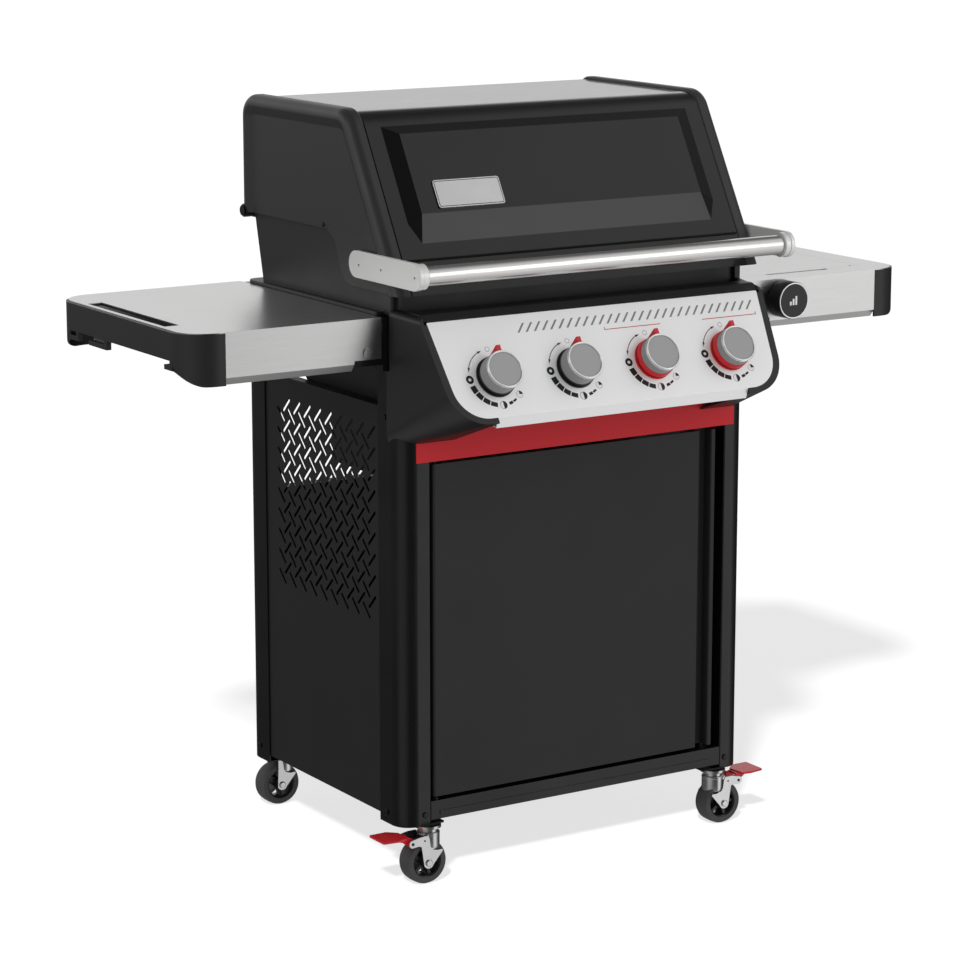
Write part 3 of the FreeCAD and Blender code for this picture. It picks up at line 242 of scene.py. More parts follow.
LOOKS = {
    "badge_plate": BRIGHT, "bottom_shelf": PANEL_PAINT, "cart_screws": DARK_STEEL,
    "caster_plates": FRAME_PAINT,
    "control_cap_left": BLACK_PLASTIC, "control_cap_right": BLACK_PLASTIC, "control_face": SILVER,
    "control_hood": SHADED_BOX_CAST, "cookbox": SHADED_BOX_CAST, "cooking_grates": IRON, "corner_posts": FRAME_PAINT,
    "display_housing": BLACK_PLASTIC, "display_lens": WINDOW, "door_panel": DOOR_PAINT,
    "door_pins_and_catch": DARK_STEEL, "drip_pan": BARE_ALUMINIUM, "drop_in_cover": TABLE_STEEL,
    "fascia_strip": RED_PAINT, "front_rail": FRAME_PAINT, "gas_manifold": BARE_ALUMINIUM, "gas_valves": BRASS,
    "grease_funnel": ENAMEL, "handle_brackets": ZINC, "handle_tube": BAR_STEEL, "heat_bars": BURNER_STEEL,
    "ignition_electrodes": CERAMIC, "left_table_cap": BLACK_PLASTIC, "left_table_top": TABLE_STEEL,
    "lid_cap_left": LID_CAST, "lid_cap_right": LID_CAST, "lid_hinge_pins": DARK_STEEL, "lid_shroud": ENAMEL,
    "main_burners": BURNER_STEEL, "sear_burner": BURNER_STEEL, "rear_panel": PANEL_PAINT,
    "right_table_cap": BLACK_PLASTIC, "right_table_top": TABLE_STEEL, "side_panel_left": PANEL_PAINT,
    "side_panel_right": PANEL_PAINT, "table_brackets": FRAME_PAINT, "warming_rack": BRIGHT,
    "valve_stem_1": BRASS, "valve_stem_2": BRASS, "valve_stem_3": BRASS, "valve_stem_4": BRASS,
}
PIVOT_PIN_RADIUS = 2.6 * MM      # how far a pin's faces lie from the table's edge
TABLE_SIDE_X = -0.34             # the left table's brackets lie outside of this
RACEWAY_DEPTH = 2.1 * MM         # how far below the posts a caster's raceway starts


def paint_nodes():
    """Gives each CAD node its material, and picks out the bright parts of two painted nodes."""
    for node, material in LOOKS.items():
        mesh = NODES[node].data
        mesh.materials.clear()
        mesh.materials.append(material)
    brackets = NODES["table_brackets"].data
    brackets.materials.append(BRIGHT)
    front, rear = (bound.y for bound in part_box("left_table_top"))
    for face in brackets.polygons:
        edge_distance = min(abs(face.center.y - front), abs(face.center.y - rear))
        is_pin = face.center.x < TABLE_SIDE_X and edge_distance < PIVOT_PIN_RADIUS
        face.material_index = int(is_pin)
    plates = NODES["caster_plates"].data
    plates.materials.append(BRIGHT)
    raceway_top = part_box("corner_posts")[0].z - RACEWAY_DEPTH
    for face in plates.polygons:
        face.material_index = int(face.center.z < raceway_top)


# ---- mesh pieces --------------------------------------------------------------------
def piece(name, points, faces, material, body, slot, smooth=True):
    """A mesh that rides on a CAD body."""
    mesh = bpy.data.meshes.new(name)
    mesh.from_pydata([tuple(p) for p in points], [], faces)
    mesh.validate()
    mesh.materials.append(material)
    mesh.polygons.foreach_set("use_smooth", [smooth] * len(mesh.polygons))
    if smooth:
        mesh.set_sharp_from_angle(angle=math.radians(35))
    made = bpy.data.objects.new(name, mesh)
    bpy.context.scene.collection.objects.link(made)
    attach(made, body)
    return made


def axes_about(axis):
    """Two unit vectors square to an axis."""
    side = X if abs(axis.dot(X)) < 0.9 else Y
    across = (side - axis * side.dot(axis)).normalized()
    return across, axis.cross(across)


def in_mm(*pairs):
    """Pairs of lengths given in millimetres, as metres."""
    return [(a * MM, b * MM) for a, b in pairs]


def turned(profile, centre, axis, steps=72):
    """Points and faces of a closed profile of (radius, along) turned about an axis."""
    u, v = axes_about(axis)
    points, faces = [], []
    for step in range(steps):
        angle = 2 * math.pi * step / steps
        outward = u * math.cos(angle) + v * math.sin(angle)
        points += [centre + outward * radius + axis * along for radius, along in profile]
    count = len(profile)
    for step in range(steps):
        here, following = step * count, (step + 1) % steps * count
        for i in range(count):
            j = (i + 1) % count
            faces.append((here + i, following + i, following + j, here + j))
    return points, faces


def prism(outline, depth):
    """Points and faces of a flat outline thickened by a vector."""
    count = len(outline)
    points = list(outline) + [p + depth for p in outline]
    faces = [tuple(reversed(range(count))), tuple(range(count, 2 * count))]
    faces += [(i, (i + 1) % count, count + (i + 1) % count, count + i) for i in range(count)]
    return points, faces


def joined(*parts):
    """Several (points, faces) pairs as one."""
    points, faces = [], []
    for some_points, some_faces in parts:
        start = len(points)
        points += some_points
        faces += [tuple(start + i for i in face) for face in some_faces]
    return points, faces


def rounded(corner_list, radius, steps=5):
    """A flat outline with its corners rounded."""
    made = []
    count = len(corner_list)
    for i in range(count):
        here = corner_list[i]
        before = (corner_list[i - 1] - here).normalized()
        after = (corner_list[(i + 1) % count] - here).normalized()
        half = before.angle(after) / 2
        reach = radius / math.tan(half)
        middle = here + (before + after).normalized() * (radius / math.sin(half))
        start, end = here + before * reach - middle, here + after * reach - middle
        for step in range(steps + 1):
            made.append(middle + start.lerp(end, step / steps).normalized() * radius)
    return made


# ---- control panel ----------------------------------------------------------------------
# Here a plain length is in millimetres, and a place on a dial is a clock hour. "Out" is away from
# the sloping face, and "up" is along it.
KNOB_NUMBERS = (1, 2, 3, 4)
SEAR_KNOBS = (3, 4)
OUT = Vector(JOINTS["knob_turn_1"]["axis"]).normalized()
UP_FACE = OUT.cross(X)
PRINT_DEPTH = 0.08 * MM

DIAL_RADIUS = 44.0               # the circle on which a knob's marks are printed
ARROW_START, ARROW_END = 9.75, 11.3
ARROW_HEADS = ((9.5, 9.82), (11.52, 11.2))       # the hours of each head's tip and tail
ARROW_HALF_LINE, ARROW_HALF_HEAD = 0.6, 1.9
FULL_HOUR, HALF_HOUR, QUARTER_HOUR = 9.0, 6.0, 4.45
BLOCKS, BLOCK_START, BLOCK_HOURS, BLOCK_PITCH = 4, 8.55, 0.49, 0.545
BLOCK_HALF_WIDTH, BLOCK_TAPER = 4.7, 0.4
DASHES, DASH_START, DASH_HOURS, DASH_PITCH = 2, 5.55, 0.3, 0.36
DASH_HALF_WIDTH, DASH_TAPER = 2.2, 0.6

KNOB_FOOT, KNOB_TOP = 5.6, 32.1
GRIP_RADIUS = 29.4
GRIP_RIBS, RIB_DEPTH = 60, 0.5
RIM_WIDTH, RIM_TALL = 3.1, 3.7
BEZEL_RADIUS, BEZEL_TALL = 31.9, 1.9

SLANTED_MARKS, FIRST_MARK, LAST_MARK = 30, -149.0, 269.5
MARK_LOW, MARK_HIGH, MARK_LEAN, MARK_HALF_WIDTH = 64.6, 79.2, 12.6, 1.9
BRACKET_UP, BRACKET_HALF_LINE = 55.6, 0.6
BRACKET_START, BRACKET_END = 1.0, 284.0
BRACKET_GAP_START, BRACKET_GAP_END = 103.4, 181.1
BRACKET_TICK, BRACKET_TICK_WIDTH = 4.2, 1.2


def knob_centre(number):
    return Vector(JOINTS["knob_turn_%d" % number]["pos_m"])


def plastic_of(number):
    """The plastic round a knob and its slot: red for the sear knobs, black for the others."""
    return (RED_PLASTIC, "red_plastic") if number in SEAR_KNOBS else (BLACK_PLASTIC, "black_plastic")


def on_face(centre, right, up, out=0.0):
    """A point on the sloping face, in millimetres from a centre."""
    return centre + (X * right + UP_FACE * up + OUT * out) * MM


def dial_point(centre, radius, clock, out=0.0):
    """A point of a dial, with clock in hours from the top."""
    angle = math.radians(90 - clock * 30)
    return on_face(centre, radius * math.cos(angle), radius * math.sin(angle), out)


def dial_band(centre, inner, outer, start, end, steps=6):
    """A flat arc between two radii and two clock hours, raised by the print's depth."""
    hours = [start + (end - start) * i / steps for i in range(steps + 1)]
    outline = [dial_point(centre, outer, hour) for hour in hours]
    outline += [dial_point(centre, inner, hour) for hour in reversed(hours)]
    return prism(outline, OUT * PRINT_DEPTH)


def disc(centre, radius, start=0.0, end=12.0, steps=24):
    """A flat round patch, or a slice of one between two clock hours."""
    hours = [start + (end - start) * i / steps for i in range(steps + (end - start < 12))]
    outline = [dial_point(centre, radius, hour) for hour in hours]
    if end - start < 12:
        outline.append(centre)
    return prism(outline, OUT * PRINT_DEPTH)


def hoop(centre, inner, outer, steps=32):
    """A flat ring at the height of the print."""
    points, faces = [], []
    for step in range(steps):
        hour = 12 * step / steps
        points += [dial_point(centre, radius, hour, PRINT_DEPTH / MM) for radius in (inner, outer)]
    for step in range(steps):
        a, b = 2 * step, 2 * ((step + 1) % steps)
        faces.append((a, b, b + 1, a + 1))
    return points, faces


def dial_marks(number):
    """The printed scale: off ring, arrow, full ring, blocks, half disc, dashes and quarter disc."""
    centre = knob_centre(number)
    ink = [hoop(dial_point(centre, DIAL_RADIUS, 12), 3.4, 3.9)]
    line_in, line_out = DIAL_RADIUS - ARROW_HALF_LINE, DIAL_RADIUS + ARROW_HALF_LINE
    ink.append(dial_band(centre, line_in, line_out, ARROW_START, ARROW_END, 12))
    for tip_hour, tail_hour in ARROW_HEADS:
        tip = dial_point(centre, DIAL_RADIUS, tip_hour)
        tail_in = dial_point(centre, DIAL_RADIUS - ARROW_HALF_HEAD, tail_hour)
        tail_out = dial_point(centre, DIAL_RADIUS + ARROW_HALF_HEAD, tail_hour)
        ink.append(prism([tip, tail_in, tail_out], OUT * PRINT_DEPTH))
    full, half, quarter = (dial_point(centre, DIAL_RADIUS, hour)
                           for hour in (FULL_HOUR, HALF_HOUR, QUARTER_HOUR))
    ink.append(hoop(full, 2.5, 6.5))
    for i in range(BLOCKS):
        start = BLOCK_START - i * BLOCK_PITCH
        thick = BLOCK_HALF_WIDTH - BLOCK_TAPER * i
        ink.append(dial_band(centre, DIAL_RADIUS - thick, DIAL_RADIUS + thick, start, start - BLOCK_HOURS))
    for i in range(DASHES):
        start = DASH_START - i * DASH_PITCH
        thick = DASH_HALF_WIDTH - DASH_TAPER * i
        ink.append(dial_band(centre, DIAL_RADIUS - thick, DIAL_RADIUS + thick, start, start - DASH_HOURS))
    ink += [hoop(half, 5.7, 6.2), hoop(quarter, 5.2, 5.6)]
    ink += [disc(half, 5.8, 0.0, 6.0, 16), disc(quarter, 5.3, 0.0, 3.0, 8)]
    piece("dial_print_%d" % number, *joined(*ink), BLACK_PRINT, "cart", "face_silver", smooth=False)
    white = joined(disc(half, 5.7, 6.0, 12.0, 16), disc(quarter, 5.2, 3.0, 11.99, 20))
    piece("dial_white_%d" % number, *white, WHITE_PRINT, "cart", "face_silver", smooth=False)


def knob_skirt(centre, tall, radius):
    """The flared foot of a knob, turned."""
    top, bore = KNOB_FOOT + tall, 10
    profile = in_mm((bore, KNOB_FOOT), (radius - 1.2, KNOB_FOOT), (radius, KNOB_FOOT + 1.2),
                    (radius - 0.6, top - 1.5), (radius - 1.6, top), (bore, top))
    return turned(profile, centre, OUT)


def knob_grip(centre, start):
    """The ribbed barrel of a knob, as an open skin from the skirt to the rim."""
    rows = [(start - 0.4, 0.0), (start + 1.0, RIB_DEPTH), (KNOB_TOP - 4.6, RIB_DEPTH), (KNOB_TOP - 3.6, 0.0)]
    steps = GRIP_RIBS * 4
    points, faces = [], []
    for out, rib in rows:
        for step in range(steps):
            angle = 2 * math.pi * step / steps
            radius = GRIP_RADIUS - rib * (0.5 - 0.5 * math.cos(GRIP_RIBS * angle))
            points.append(on_face(centre, radius * math.cos(angle), radius * math.sin(angle), out))
    for row in range(len(rows) - 1):
        for step in range(steps):
            a, b = row * steps + step, row * steps + (step + 1) % steps
            faces.append((a, b, b + steps, a + steps))
    return points, faces


def knob_rim(centre):
    """The bright ring round the face of a knob."""
    inner = GRIP_RADIUS - RIM_WIDTH
    profile = in_mm((GRIP_RADIUS, KNOB_TOP - RIM_TALL), (GRIP_RADIUS, KNOB_TOP - 0.9),
                    (GRIP_RADIUS - 0.8, KNOB_TOP), (GRIP_RADIUS - 2.4, KNOB_TOP),
                    (inner, KNOB_TOP - 0.8), (inner, KNOB_TOP - RIM_TALL))
    return turned(profile, centre, OUT, 96)


def knob_face(centre):
    """The slightly dished face inside the rim."""
    edge = GRIP_RADIUS - 3.0
    profile = in_mm((ON_AXIS, KNOB_TOP - 2.1), (20, KNOB_TOP - 1.9), (edge, KNOB_TOP - 1.5),
                    (edge, KNOB_TOP - 3.5), (ON_AXIS, KNOB_TOP - 3.5))
    return turned(profile, centre, OUT, 96)


def knob_pointer(centre):
    """A fin above the grip that widens from a thin root at the skirt to a flag beside the rim."""
    corner_signs = ((-1, 1), (1, 1), (1, 0), (-1, 0))
    root = [on_face(centre, side * 0.9, 30.6 + rise * 3.0, 6.0) for side, rise in corner_signs]
    flag = [on_face(centre, side * 3.6, 28.8 + rise * 9.4, 30.5) for side, rise in corner_signs]
    return root + flag, [(0, 1, 5, 4), (1, 2, 6, 5), (2, 3, 7, 6), (3, 0, 4, 7), (3, 2, 1, 0), (4, 5, 6, 7)]


def knob(number):
    """A gripped knob in five pieces; the skirts of the sear knobs are taller and wider."""
    centre = knob_centre(number)
    skirt_tall, skirt_radius = (9.5, 31.6) if number in SEAR_KNOBS else (3.0, 31.0)
    shapes = {
        "skirt": (knob_skirt(centre, skirt_tall, skirt_radius), *plastic_of(number)),
        "grip": (knob_grip(centre, KNOB_FOOT + skirt_tall), KNOB_GREY, "knob_grey"),
        "rim": (knob_rim(centre), KNOB_RIM, "bright_steel"),
        "face": (knob_face(centre), KNOB_FACE, "knob_grey"),
        "pointer": (knob_pointer(centre), RED_PLASTIC, "red_plastic"),
    }
    node = "knob_%d" % number
    for name, (shape, material, slot) in shapes.items():
        part = piece("knob_%s_%d" % (name, number), *shape, material, node, slot)
        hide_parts(node)


def bezels():
    """The rings behind the knobs."""
    profile = in_mm((12, 0.0), (BEZEL_RADIUS, 0.0), (BEZEL_RADIUS, 1.0),
                    (BEZEL_RADIUS - 0.9, BEZEL_TALL), (12, BEZEL_TALL))
    for number in KNOB_NUMBERS:
        material, slot = plastic_of(number)
        ring = piece("bezel_%d" % number, *turned(profile, knob_centre(number), OUT), material, "cart", slot)
        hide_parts("knob_bezels")


def face_prints():
    """A row of slanted marks, and a red bracket with a gap over the two sear knobs."""
    middle = (knob_centre(1) + knob_centre(4)) / 2
    marks = []
    for i in range(SLANTED_MARKS):
        right = FIRST_MARK + (LAST_MARK - FIRST_MARK) * i / (SLANTED_MARKS - 1)
        outline = [on_face(middle, right - MARK_HALF_WIDTH, MARK_LOW),
                   on_face(middle, right + MARK_HALF_WIDTH, MARK_LOW),
                   on_face(middle, right + MARK_HALF_WIDTH + MARK_LEAN, MARK_HIGH),
                   on_face(middle, right - MARK_HALF_WIDTH + MARK_LEAN, MARK_HIGH)]
        marks.append(prism(outline, OUT * PRINT_DEPTH))
    piece("face_dashes", *joined(*marks), GREY_PRINT, "cart", "face_silver", smooth=False)
    line_low, line_high = BRACKET_UP - BRACKET_HALF_LINE, BRACKET_UP + BRACKET_HALF_LINE
    tick_high = BRACKET_UP + BRACKET_TICK
    bars = []
    for left, right, low, high in ((BRACKET_START, BRACKET_GAP_START, line_low, line_high),
                                   (BRACKET_GAP_END, BRACKET_END, line_low, line_high),
                                   (BRACKET_START, BRACKET_START + BRACKET_TICK_WIDTH, BRACKET_UP, tick_high),
                                   (BRACKET_END - BRACKET_TICK_WIDTH, BRACKET_END, BRACKET_UP, tick_high)):
        outline = [on_face(middle, left, low), on_face(middle, right, low),
                   on_face(middle, right, high), on_face(middle, left, high)]
        bars.append(prism(outline, OUT * PRINT_DEPTH))
    piece("sear_bracket", *joined(*bars), RED_PRINT, "cart", "face_silver", smooth=False)


# ---- lid -------------------------------------------------------------------------------------
LID_FRONT_LEAN = 29.65           # degrees that the lid's front leans back from upright
CAP_RECESS = 6.5 * MM            # how deep the field of a lid cap is sunk
BUMPER_Y, BUMPER_Z = 0.030, 0.9845
SOCKET_Y = (-0.0981, -0.1621, -0.2565)


def badge_face():
    """A blank badge: a dark border line round a plain bright field, laid on the CAD plate."""
    low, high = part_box("badge_plate")
    lean = math.radians(LID_FRONT_LEAN)
    normal = Vector((0, -math.cos(lean), math.sin(lean)))
    up = normal.cross(X)
    points = [vertex.co for vertex in NODES["badge_plate"].data.vertices]
    face_height = max(point.dot(normal) for point in points)
    along = [point.dot(up) for point in points if point.dot(normal) > face_height - 0.1 * MM]
    half_width, half_height = (high.x - low.x) / 2, (max(along) - min(along)) / 2
    centre = X * ((low.x + high.x) / 2) + up * ((max(along) + min(along)) / 2) + normal * face_height

    def outline(inset, radius):
        signs = ((-1, -1), (1, -1), (1, 1), (-1, 1))
        square = [centre + X * a * (half_width - inset) + up * b * (half_height - inset) for a, b in signs]
        return rounded(square, radius)

    for name, inset, radius, thick, material in (("border", 1.6 * MM, 2.6 * MM, 0.08 * MM, BLACK_PRINT),
                                                 ("field", 2.6 * MM, 1.8 * MM, 0.16 * MM, FIELD)):
        shape = prism(outline(inset, radius), normal * thick)
        piece("badge_" + name, *shape, material, "lid", "bright_steel", smooth=False)


def lid_bumpers():
    """Small black stops on the lower edge of the lid's sides."""
    profile = in_mm((ON_AXIS, 0.0), (3.6, 0.0), (3.6, 1.6), (2.6, 2.6), (ON_AXIS, 2.6))
    for side, name in ((-1, "left"), (1, "right")):
        low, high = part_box("lid_cap_" + name)
        face = low.x if side < 0 else high.x
        centre = Vector((face - side * CAP_RECESS, BUMPER_Y, BUMPER_Z))
        bumper = turned(profile, centre, X * side, 32)
        piece("lid_bumper_" + name, *bumper, BLACK_PLASTIC, "lid", "black_plastic")


def bracket_screws():
    """Dark discs for the sockets in the heads on the handle brackets: painted shade in the recesses."""
    profile = in_mm((ON_AXIS, 0.0), (1.5, 0.0), (1.5, 0.05), (ON_AXIS, 0.05))
    low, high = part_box("handle_brackets")
    tube_low, tube_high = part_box("handle_tube")
    height = (tube_low.z + tube_high.z) / 2
    for side, name in ((-1, "left"), (1, "right")):
        face = low.x if side < 0 else high.x
        # Each socket is a flat dark disc, painted shade for the recess in the head.
        sockets = [turned(profile, Vector((face, y, height)), X * side, 24) for y in SOCKET_Y]
        piece("bracket_sockets_" + name, *joined(*sockets), DARK_STEEL, "lid", "screw_steel")


# ---- display -----------------------------------------------------------------------------------
def display_details():
    """A black drum with a bright ring, and a plain row of bars behind the CAD window."""
    low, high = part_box("display_housing")
    centre = Vector(((low.x + high.x) / 2, low.y, (low.z + high.z) / 2))
    radius, depth = (high.x - low.x) / 2, high.y - low.y
    window = radius - 3.3 * MM
    drum = [(window - 0.4 * MM, depth), (radius - 0.4 * MM, depth), (radius, depth - 1 * MM),
            (radius, 2.2 * MM), (radius - 0.7 * MM, 1.2 * MM), (window + 2.6 * MM, 1.2 * MM),
            (window + 2.4 * MM, 2.6 * MM), (window - 0.4 * MM, 2.6 * MM)]
    body = piece("display_drum", *turned(drum, centre, Y, 96), BLACK_PLASTIC, "cart", "black_plastic")
    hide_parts("display_housing")
    ring = [(window + 2.5 * MM, 2.4 * MM), (window + 2.5 * MM, 0.7 * MM), (window + 1.9 * MM, 0.02 * MM),
            (window + 0.6 * MM, 0.02 * MM), (window, 0.7 * MM), (window, 2.4 * MM)]
    piece("display_ring", *turned(ring, centre, Y, 96), KNOB_RIM, "cart", "bright_steel")
    bar_width, bar_pitch = 3.4 * MM, 5.4 * MM
    first_foot = centre + Y * 0.42 * MM - Z * 7 * MM - X * 8 * MM
    bars = []
    for i, tall in enumerate((6.0, 10.0, 14.0)):
        foot = first_foot + X * bar_pitch * i
        top = foot + Z * tall * MM
        bars.append(prism([foot, foot + X * bar_width, top + X * bar_width, top], Y * 0.06 * MM))
    piece("display_bars", *joined(*bars), WHITE_PRINT, "cart", "dark_glass", smooth=False)


# ---- casters --------------------------------------------------------------------------------------
CORNERS = ("front_left", "front_right", "rear_left", "rear_right")
BRAKED_CORNERS = CORNERS[:2]
SPOKES, SPOKE_HALF_WIDTH = 5, 2.6 * MM
LEG_IN, LEG_OUT = 16.8 * MM, 19.1 * MM       # the two faces of a fork leg, from the wheel's middle
BARREL_RADIUS, BARREL_SHEET = 17.6 * MM, 1.8 * MM
BARREL_START, BARREL_SWEEP = 58, 244         # degrees from the trailing side
BRAKE_PIN_ALONG, BRAKE_PIN_Z = 38.0, 68.5    # in millimetres, from the swivel and from the floor


def wheel(corner):
    """A crowned grey tyre round a spoked black hub."""
    node = "caster_wheel_" + corner
    low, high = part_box(node)
    centre = (low + high) / 2
    radius, half = (high.z - low.z) / 2, (high.y - low.y) / 2
    tread = [(radius * 0.70, -half * 0.93), (radius * 0.93, -half * 0.97), (radius * 0.985, -half * 0.72),
             (radius, -half * 0.3), (radius, half * 0.3), (radius * 0.985, half * 0.72),
             (radius * 0.93, half * 0.97), (radius * 0.70, half * 0.93)]
    tyre = piece("tyre_" + corner, *turned(tread, centre, Y, 96), RUBBER, "wheel_" + corner, "hub_grey")
    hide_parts(node)
    rim = [(radius * 0.64, -half * 0.8), (radius * 0.705, -half * 0.9), (radius * 0.705, half * 0.9),
           (radius * 0.64, half * 0.8), (radius * 0.6, 0.0)]
    boss = [(4.1 * MM, -half * 0.95), (9 * MM, -half * 0.95), (10 * MM, -half * 0.8), (10 * MM, half * 0.8),
            (9 * MM, half * 0.95), (4.1 * MM, half * 0.95)]
    parts = [turned(rim, centre, Y, 72), turned(boss, centre, Y, 48)]
    depth = Y * half * 1.3
    for i in range(SPOKES):
        angle = 2 * math.pi * i / SPOKES
        along = X * math.cos(angle) + Z * math.sin(angle)
        across = Y.cross(along) * SPOKE_HALF_WIDTH
        inner, outer = centre + along * 9 * MM, centre + along * radius * 0.66
        outline = [inner - across - depth / 2, outer - across - depth / 2,
                   outer + across - depth / 2, inner + across - depth / 2]
        parts.append(prism(outline, depth))
    hub = piece("hub_" + corner, *joined(*parts), HUB_PLASTIC, "wheel_" + corner, "hub_grey")
    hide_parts(node)


def fork(corner):
    """A pressed fork: raceway cap, stem, a barrel round the front and two flat tapering legs."""
    node = "caster_fork_" + corner
    swivel = Vector(JOINTS["swivel_" + corner]["pos_m"])
    axle = Vector(JOINTS["wheel_spin_" + corner]["pos_m"])
    trail = X * math.copysign(1, axle.x - swivel.x)
    body = "fork_" + corner
    middle = Vector((swivel.x, swivel.y, 0))
    cap = in_mm((ON_AXIS, 79.6), (16.5, 79.6), (17.8, 78.6), (17.8, 76.2), (16.8, 75.0), (ON_AXIS, 75.0))
    stem = in_mm((ON_AXIS, 79.0), (4.9, 79.0), (4.9, 86.3), (ON_AXIS, 86.3))
    axle_head = in_mm((ON_AXIS, 0.0), (5.4, 0.0), (5.4, 1.5), (4.4, 2.4), (ON_AXIS, 2.4))
    parts = [turned(cap, middle, Z, 64), turned(stem, middle, Z, 32)]
    braked = corner in BRAKED_CORNERS
    outline = leg_outline((axle - swivel).dot(trail), axle.z, braked)
    for near in (-1, 1):
        flat = [middle + trail * along + Z * z + Y * near * LEG_IN for along, z in outline]
        parts.append(prism(flat, Y * near * (LEG_OUT - LEG_IN)))
        parts.append(turned(axle_head, axle + Y * near * LEG_OUT, Y * near, 32))
    parts.append(barrel(middle, trail))
    made = piece(body + "_look", *joined(*parts), BRIGHT, body, "bright_steel")
    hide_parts(node)
    if braked:
        ear_details(corner, middle, trail)


def ear_details(corner, middle, trail):
    """The end of the brake pin and a small hole beside it, on the outside of both legs; the hole is a dark
    disc, painted shade where the leg has an opening.
    """
    # The "hole" entry is painted shade: a dark disc in place of an opening.
    for name, along, z, radius in (("pin", BRAKE_PIN_ALONG, BRAKE_PIN_Z, 2.4), ("hole", 17.0, 70.5, 1.4)):
        profile = in_mm((ON_AXIS, 0.0), (radius, 0.0), (radius, 0.5), (ON_AXIS, 0.5))
        for near, side in ((-1, "front"), (1, "rear")):
            spot = middle + (trail * along + Z * z) * MM + Y * near * (LEG_OUT - 0.1 * MM)
            detail = turned(profile, spot, Y * near, 24)
            label = "fork_%s_%s_%s" % (name, corner, side)
            piece(label, *detail, DARK_STEEL, "fork_" + corner, "screw_steel")


def arc(centre, radius, start, sweep, steps):
    """Points of an arc in two dimensions, with its angles in degrees."""
    angles = [math.radians(start + sweep * step / steps) for step in range(steps + 1)]
    return [(centre[0] + radius * math.cos(angle), centre[1] + radius * math.sin(angle)) for angle in angles]


def leg_outline(axle_along, axle_z, braked):
    """Side view of a leg in (along the trail, height), with the ear that carries the brake."""
    outline = arc((axle_along, axle_z), 8.8 * MM, 200, 140, 12)
    if braked:
        outline += in_mm((23, 62), (28, 63.5))
        outline += arc((BRAKE_PIN_ALONG * MM, BRAKE_PIN_Z * MM), 6.3 * MM, -80, 160, 8)
        outline += in_mm((24, 77.4))
    else:
        outline += in_mm((17, 70), (17, 77))
    return outline + in_mm((11, 77.6), (8.5, 72), (7, 60), (3, 54.8), (-5, 52.6), (-14, 52.8), (-14.5, 50))


def barrel(middle, trail):
    """The rounded front of the fork, from one leg to the other, with a turned-in lower edge."""
    rows = in_mm((77, 0.0), (58, 0.0), (54.5, 0.8), (53, 2.6))
    steps = 28
    across = Z.cross(trail)
    points, faces = [], []
    for inward in (0.0, BARREL_SHEET):
        for z, shrink in rows:
            for step in range(steps + 1):
                angle = math.radians(BARREL_START + BARREL_SWEEP * step / steps)
                direction = trail * math.cos(angle) + across * math.sin(angle)
                points.append(middle + direction * (BARREL_RADIUS - shrink - inward) + Z * z)
    width, layer = steps + 1, (steps + 1) * len(rows)
    for row in range(len(rows) - 1):
        for step in range(steps):
            a = row * width + step
            faces.append((a, a + 1, a + width + 1, a + width))
            faces.append((layer + a + width, layer + a + width + 1, layer + a + 1, layer + a))
    bottom = (len(rows) - 1) * width
    for step in range(steps):
        a = bottom + step
        faces.append((a, a + 1, layer + a + 1, layer + a))
    return points, faces


def brake_pedal(corner):
    """A red pedal: a flat tread on two cheeks, joined by a bridge, that hang on the brake pin."""
    pin = Vector(JOINTS["brake_" + corner]["pos_m"])
    swivel = Vector(JOINTS["swivel_" + corner]["pos_m"])
    trail = X * math.copysign(1, pin.x - swivel.x)
    node = "brake_lever_" + corner
    top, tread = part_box(node)[1].z - 0.2 * MM, 3.0 * MM
    foot = Vector((pin.x, pin.y, 0))
    cheek_side = in_mm((-4, 66.0), (-1, 63.9), (4, 63.9), (20, 76.0), (20, 77.5), (2, 77.5), (-5, 74))
    bridge_side = in_mm((2, 74.5), (20, 75.5), (20, 77.5), (2, 77.5))
    tread_outline = in_mm((9, -16.5), (24, -19.5), (49.6, -16), (49.6, 27.5), (20, 27.5), (6, 14))
    flat = [foot + trail * along + Y * across + Z * (top - tread) for along, across in tread_outline]
    parts = [prism(rounded(flat, 2.0 * MM), Z * tread)]
    for side, offset, width in ((cheek_side, -11.3, 2.5), (cheek_side, 8.8, 2.5), (bridge_side, -9, 18)):
        outline = [foot + trail * along + Z * z + Y * offset * MM for along, z in side]
        parts.append(prism(outline, Y * width * MM))
    made = piece("pedal_" + corner, *joined(*parts), RED_PLASTIC, "lever_" + corner, "red_plastic")
    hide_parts(node)


# ---- studio -----------------------------------------------------------------------------------------
DOME_STRENGTH = 0.76             # the even light on dull surfaces
CAMERA_WHITE = 1.2               # the backdrop as the camera sees it
BAND_STRENGTH = 1.2              # the studio as shiny surfaces reflect it, graded by the stops below
# Each stop is a component of the direction, from -1 to 1, and a grey level.
REAR_HEIGHT = ((-1.0, 0.05), (-0.15, 0.07), (0.05, 0.55), (0.17, 0.66),
               (0.28, 0.95), (0.4, 0.9), (0.62, 0.12), (1.0, 0.1))
FRONT_HEIGHT = ((-1.0, 0.35), (-0.3, 0.9), (0.0, 0.9), (0.12, 0.38),
                (0.46, 0.38), (0.60, 0.80), (0.76, 0.70), (0.90, 0.15))
REAR_SIDE = ((-1.0, 1.0), (0.80, 1.0), (0.97, 0.12))
FRONT_SIDE = ((-1.0, 0.45), (-0.75, 0.4), (-0.45, 0.06), (0.34, 0.06),
              (0.46, 1.0), (0.74, 1.0), (0.90, 0.12), (1.0, 0.12))
FLOOR_GLOW = ((-1.0, 0.34), (-0.6, 0.3), (-0.42, 0.0), (1.0, 0.0))


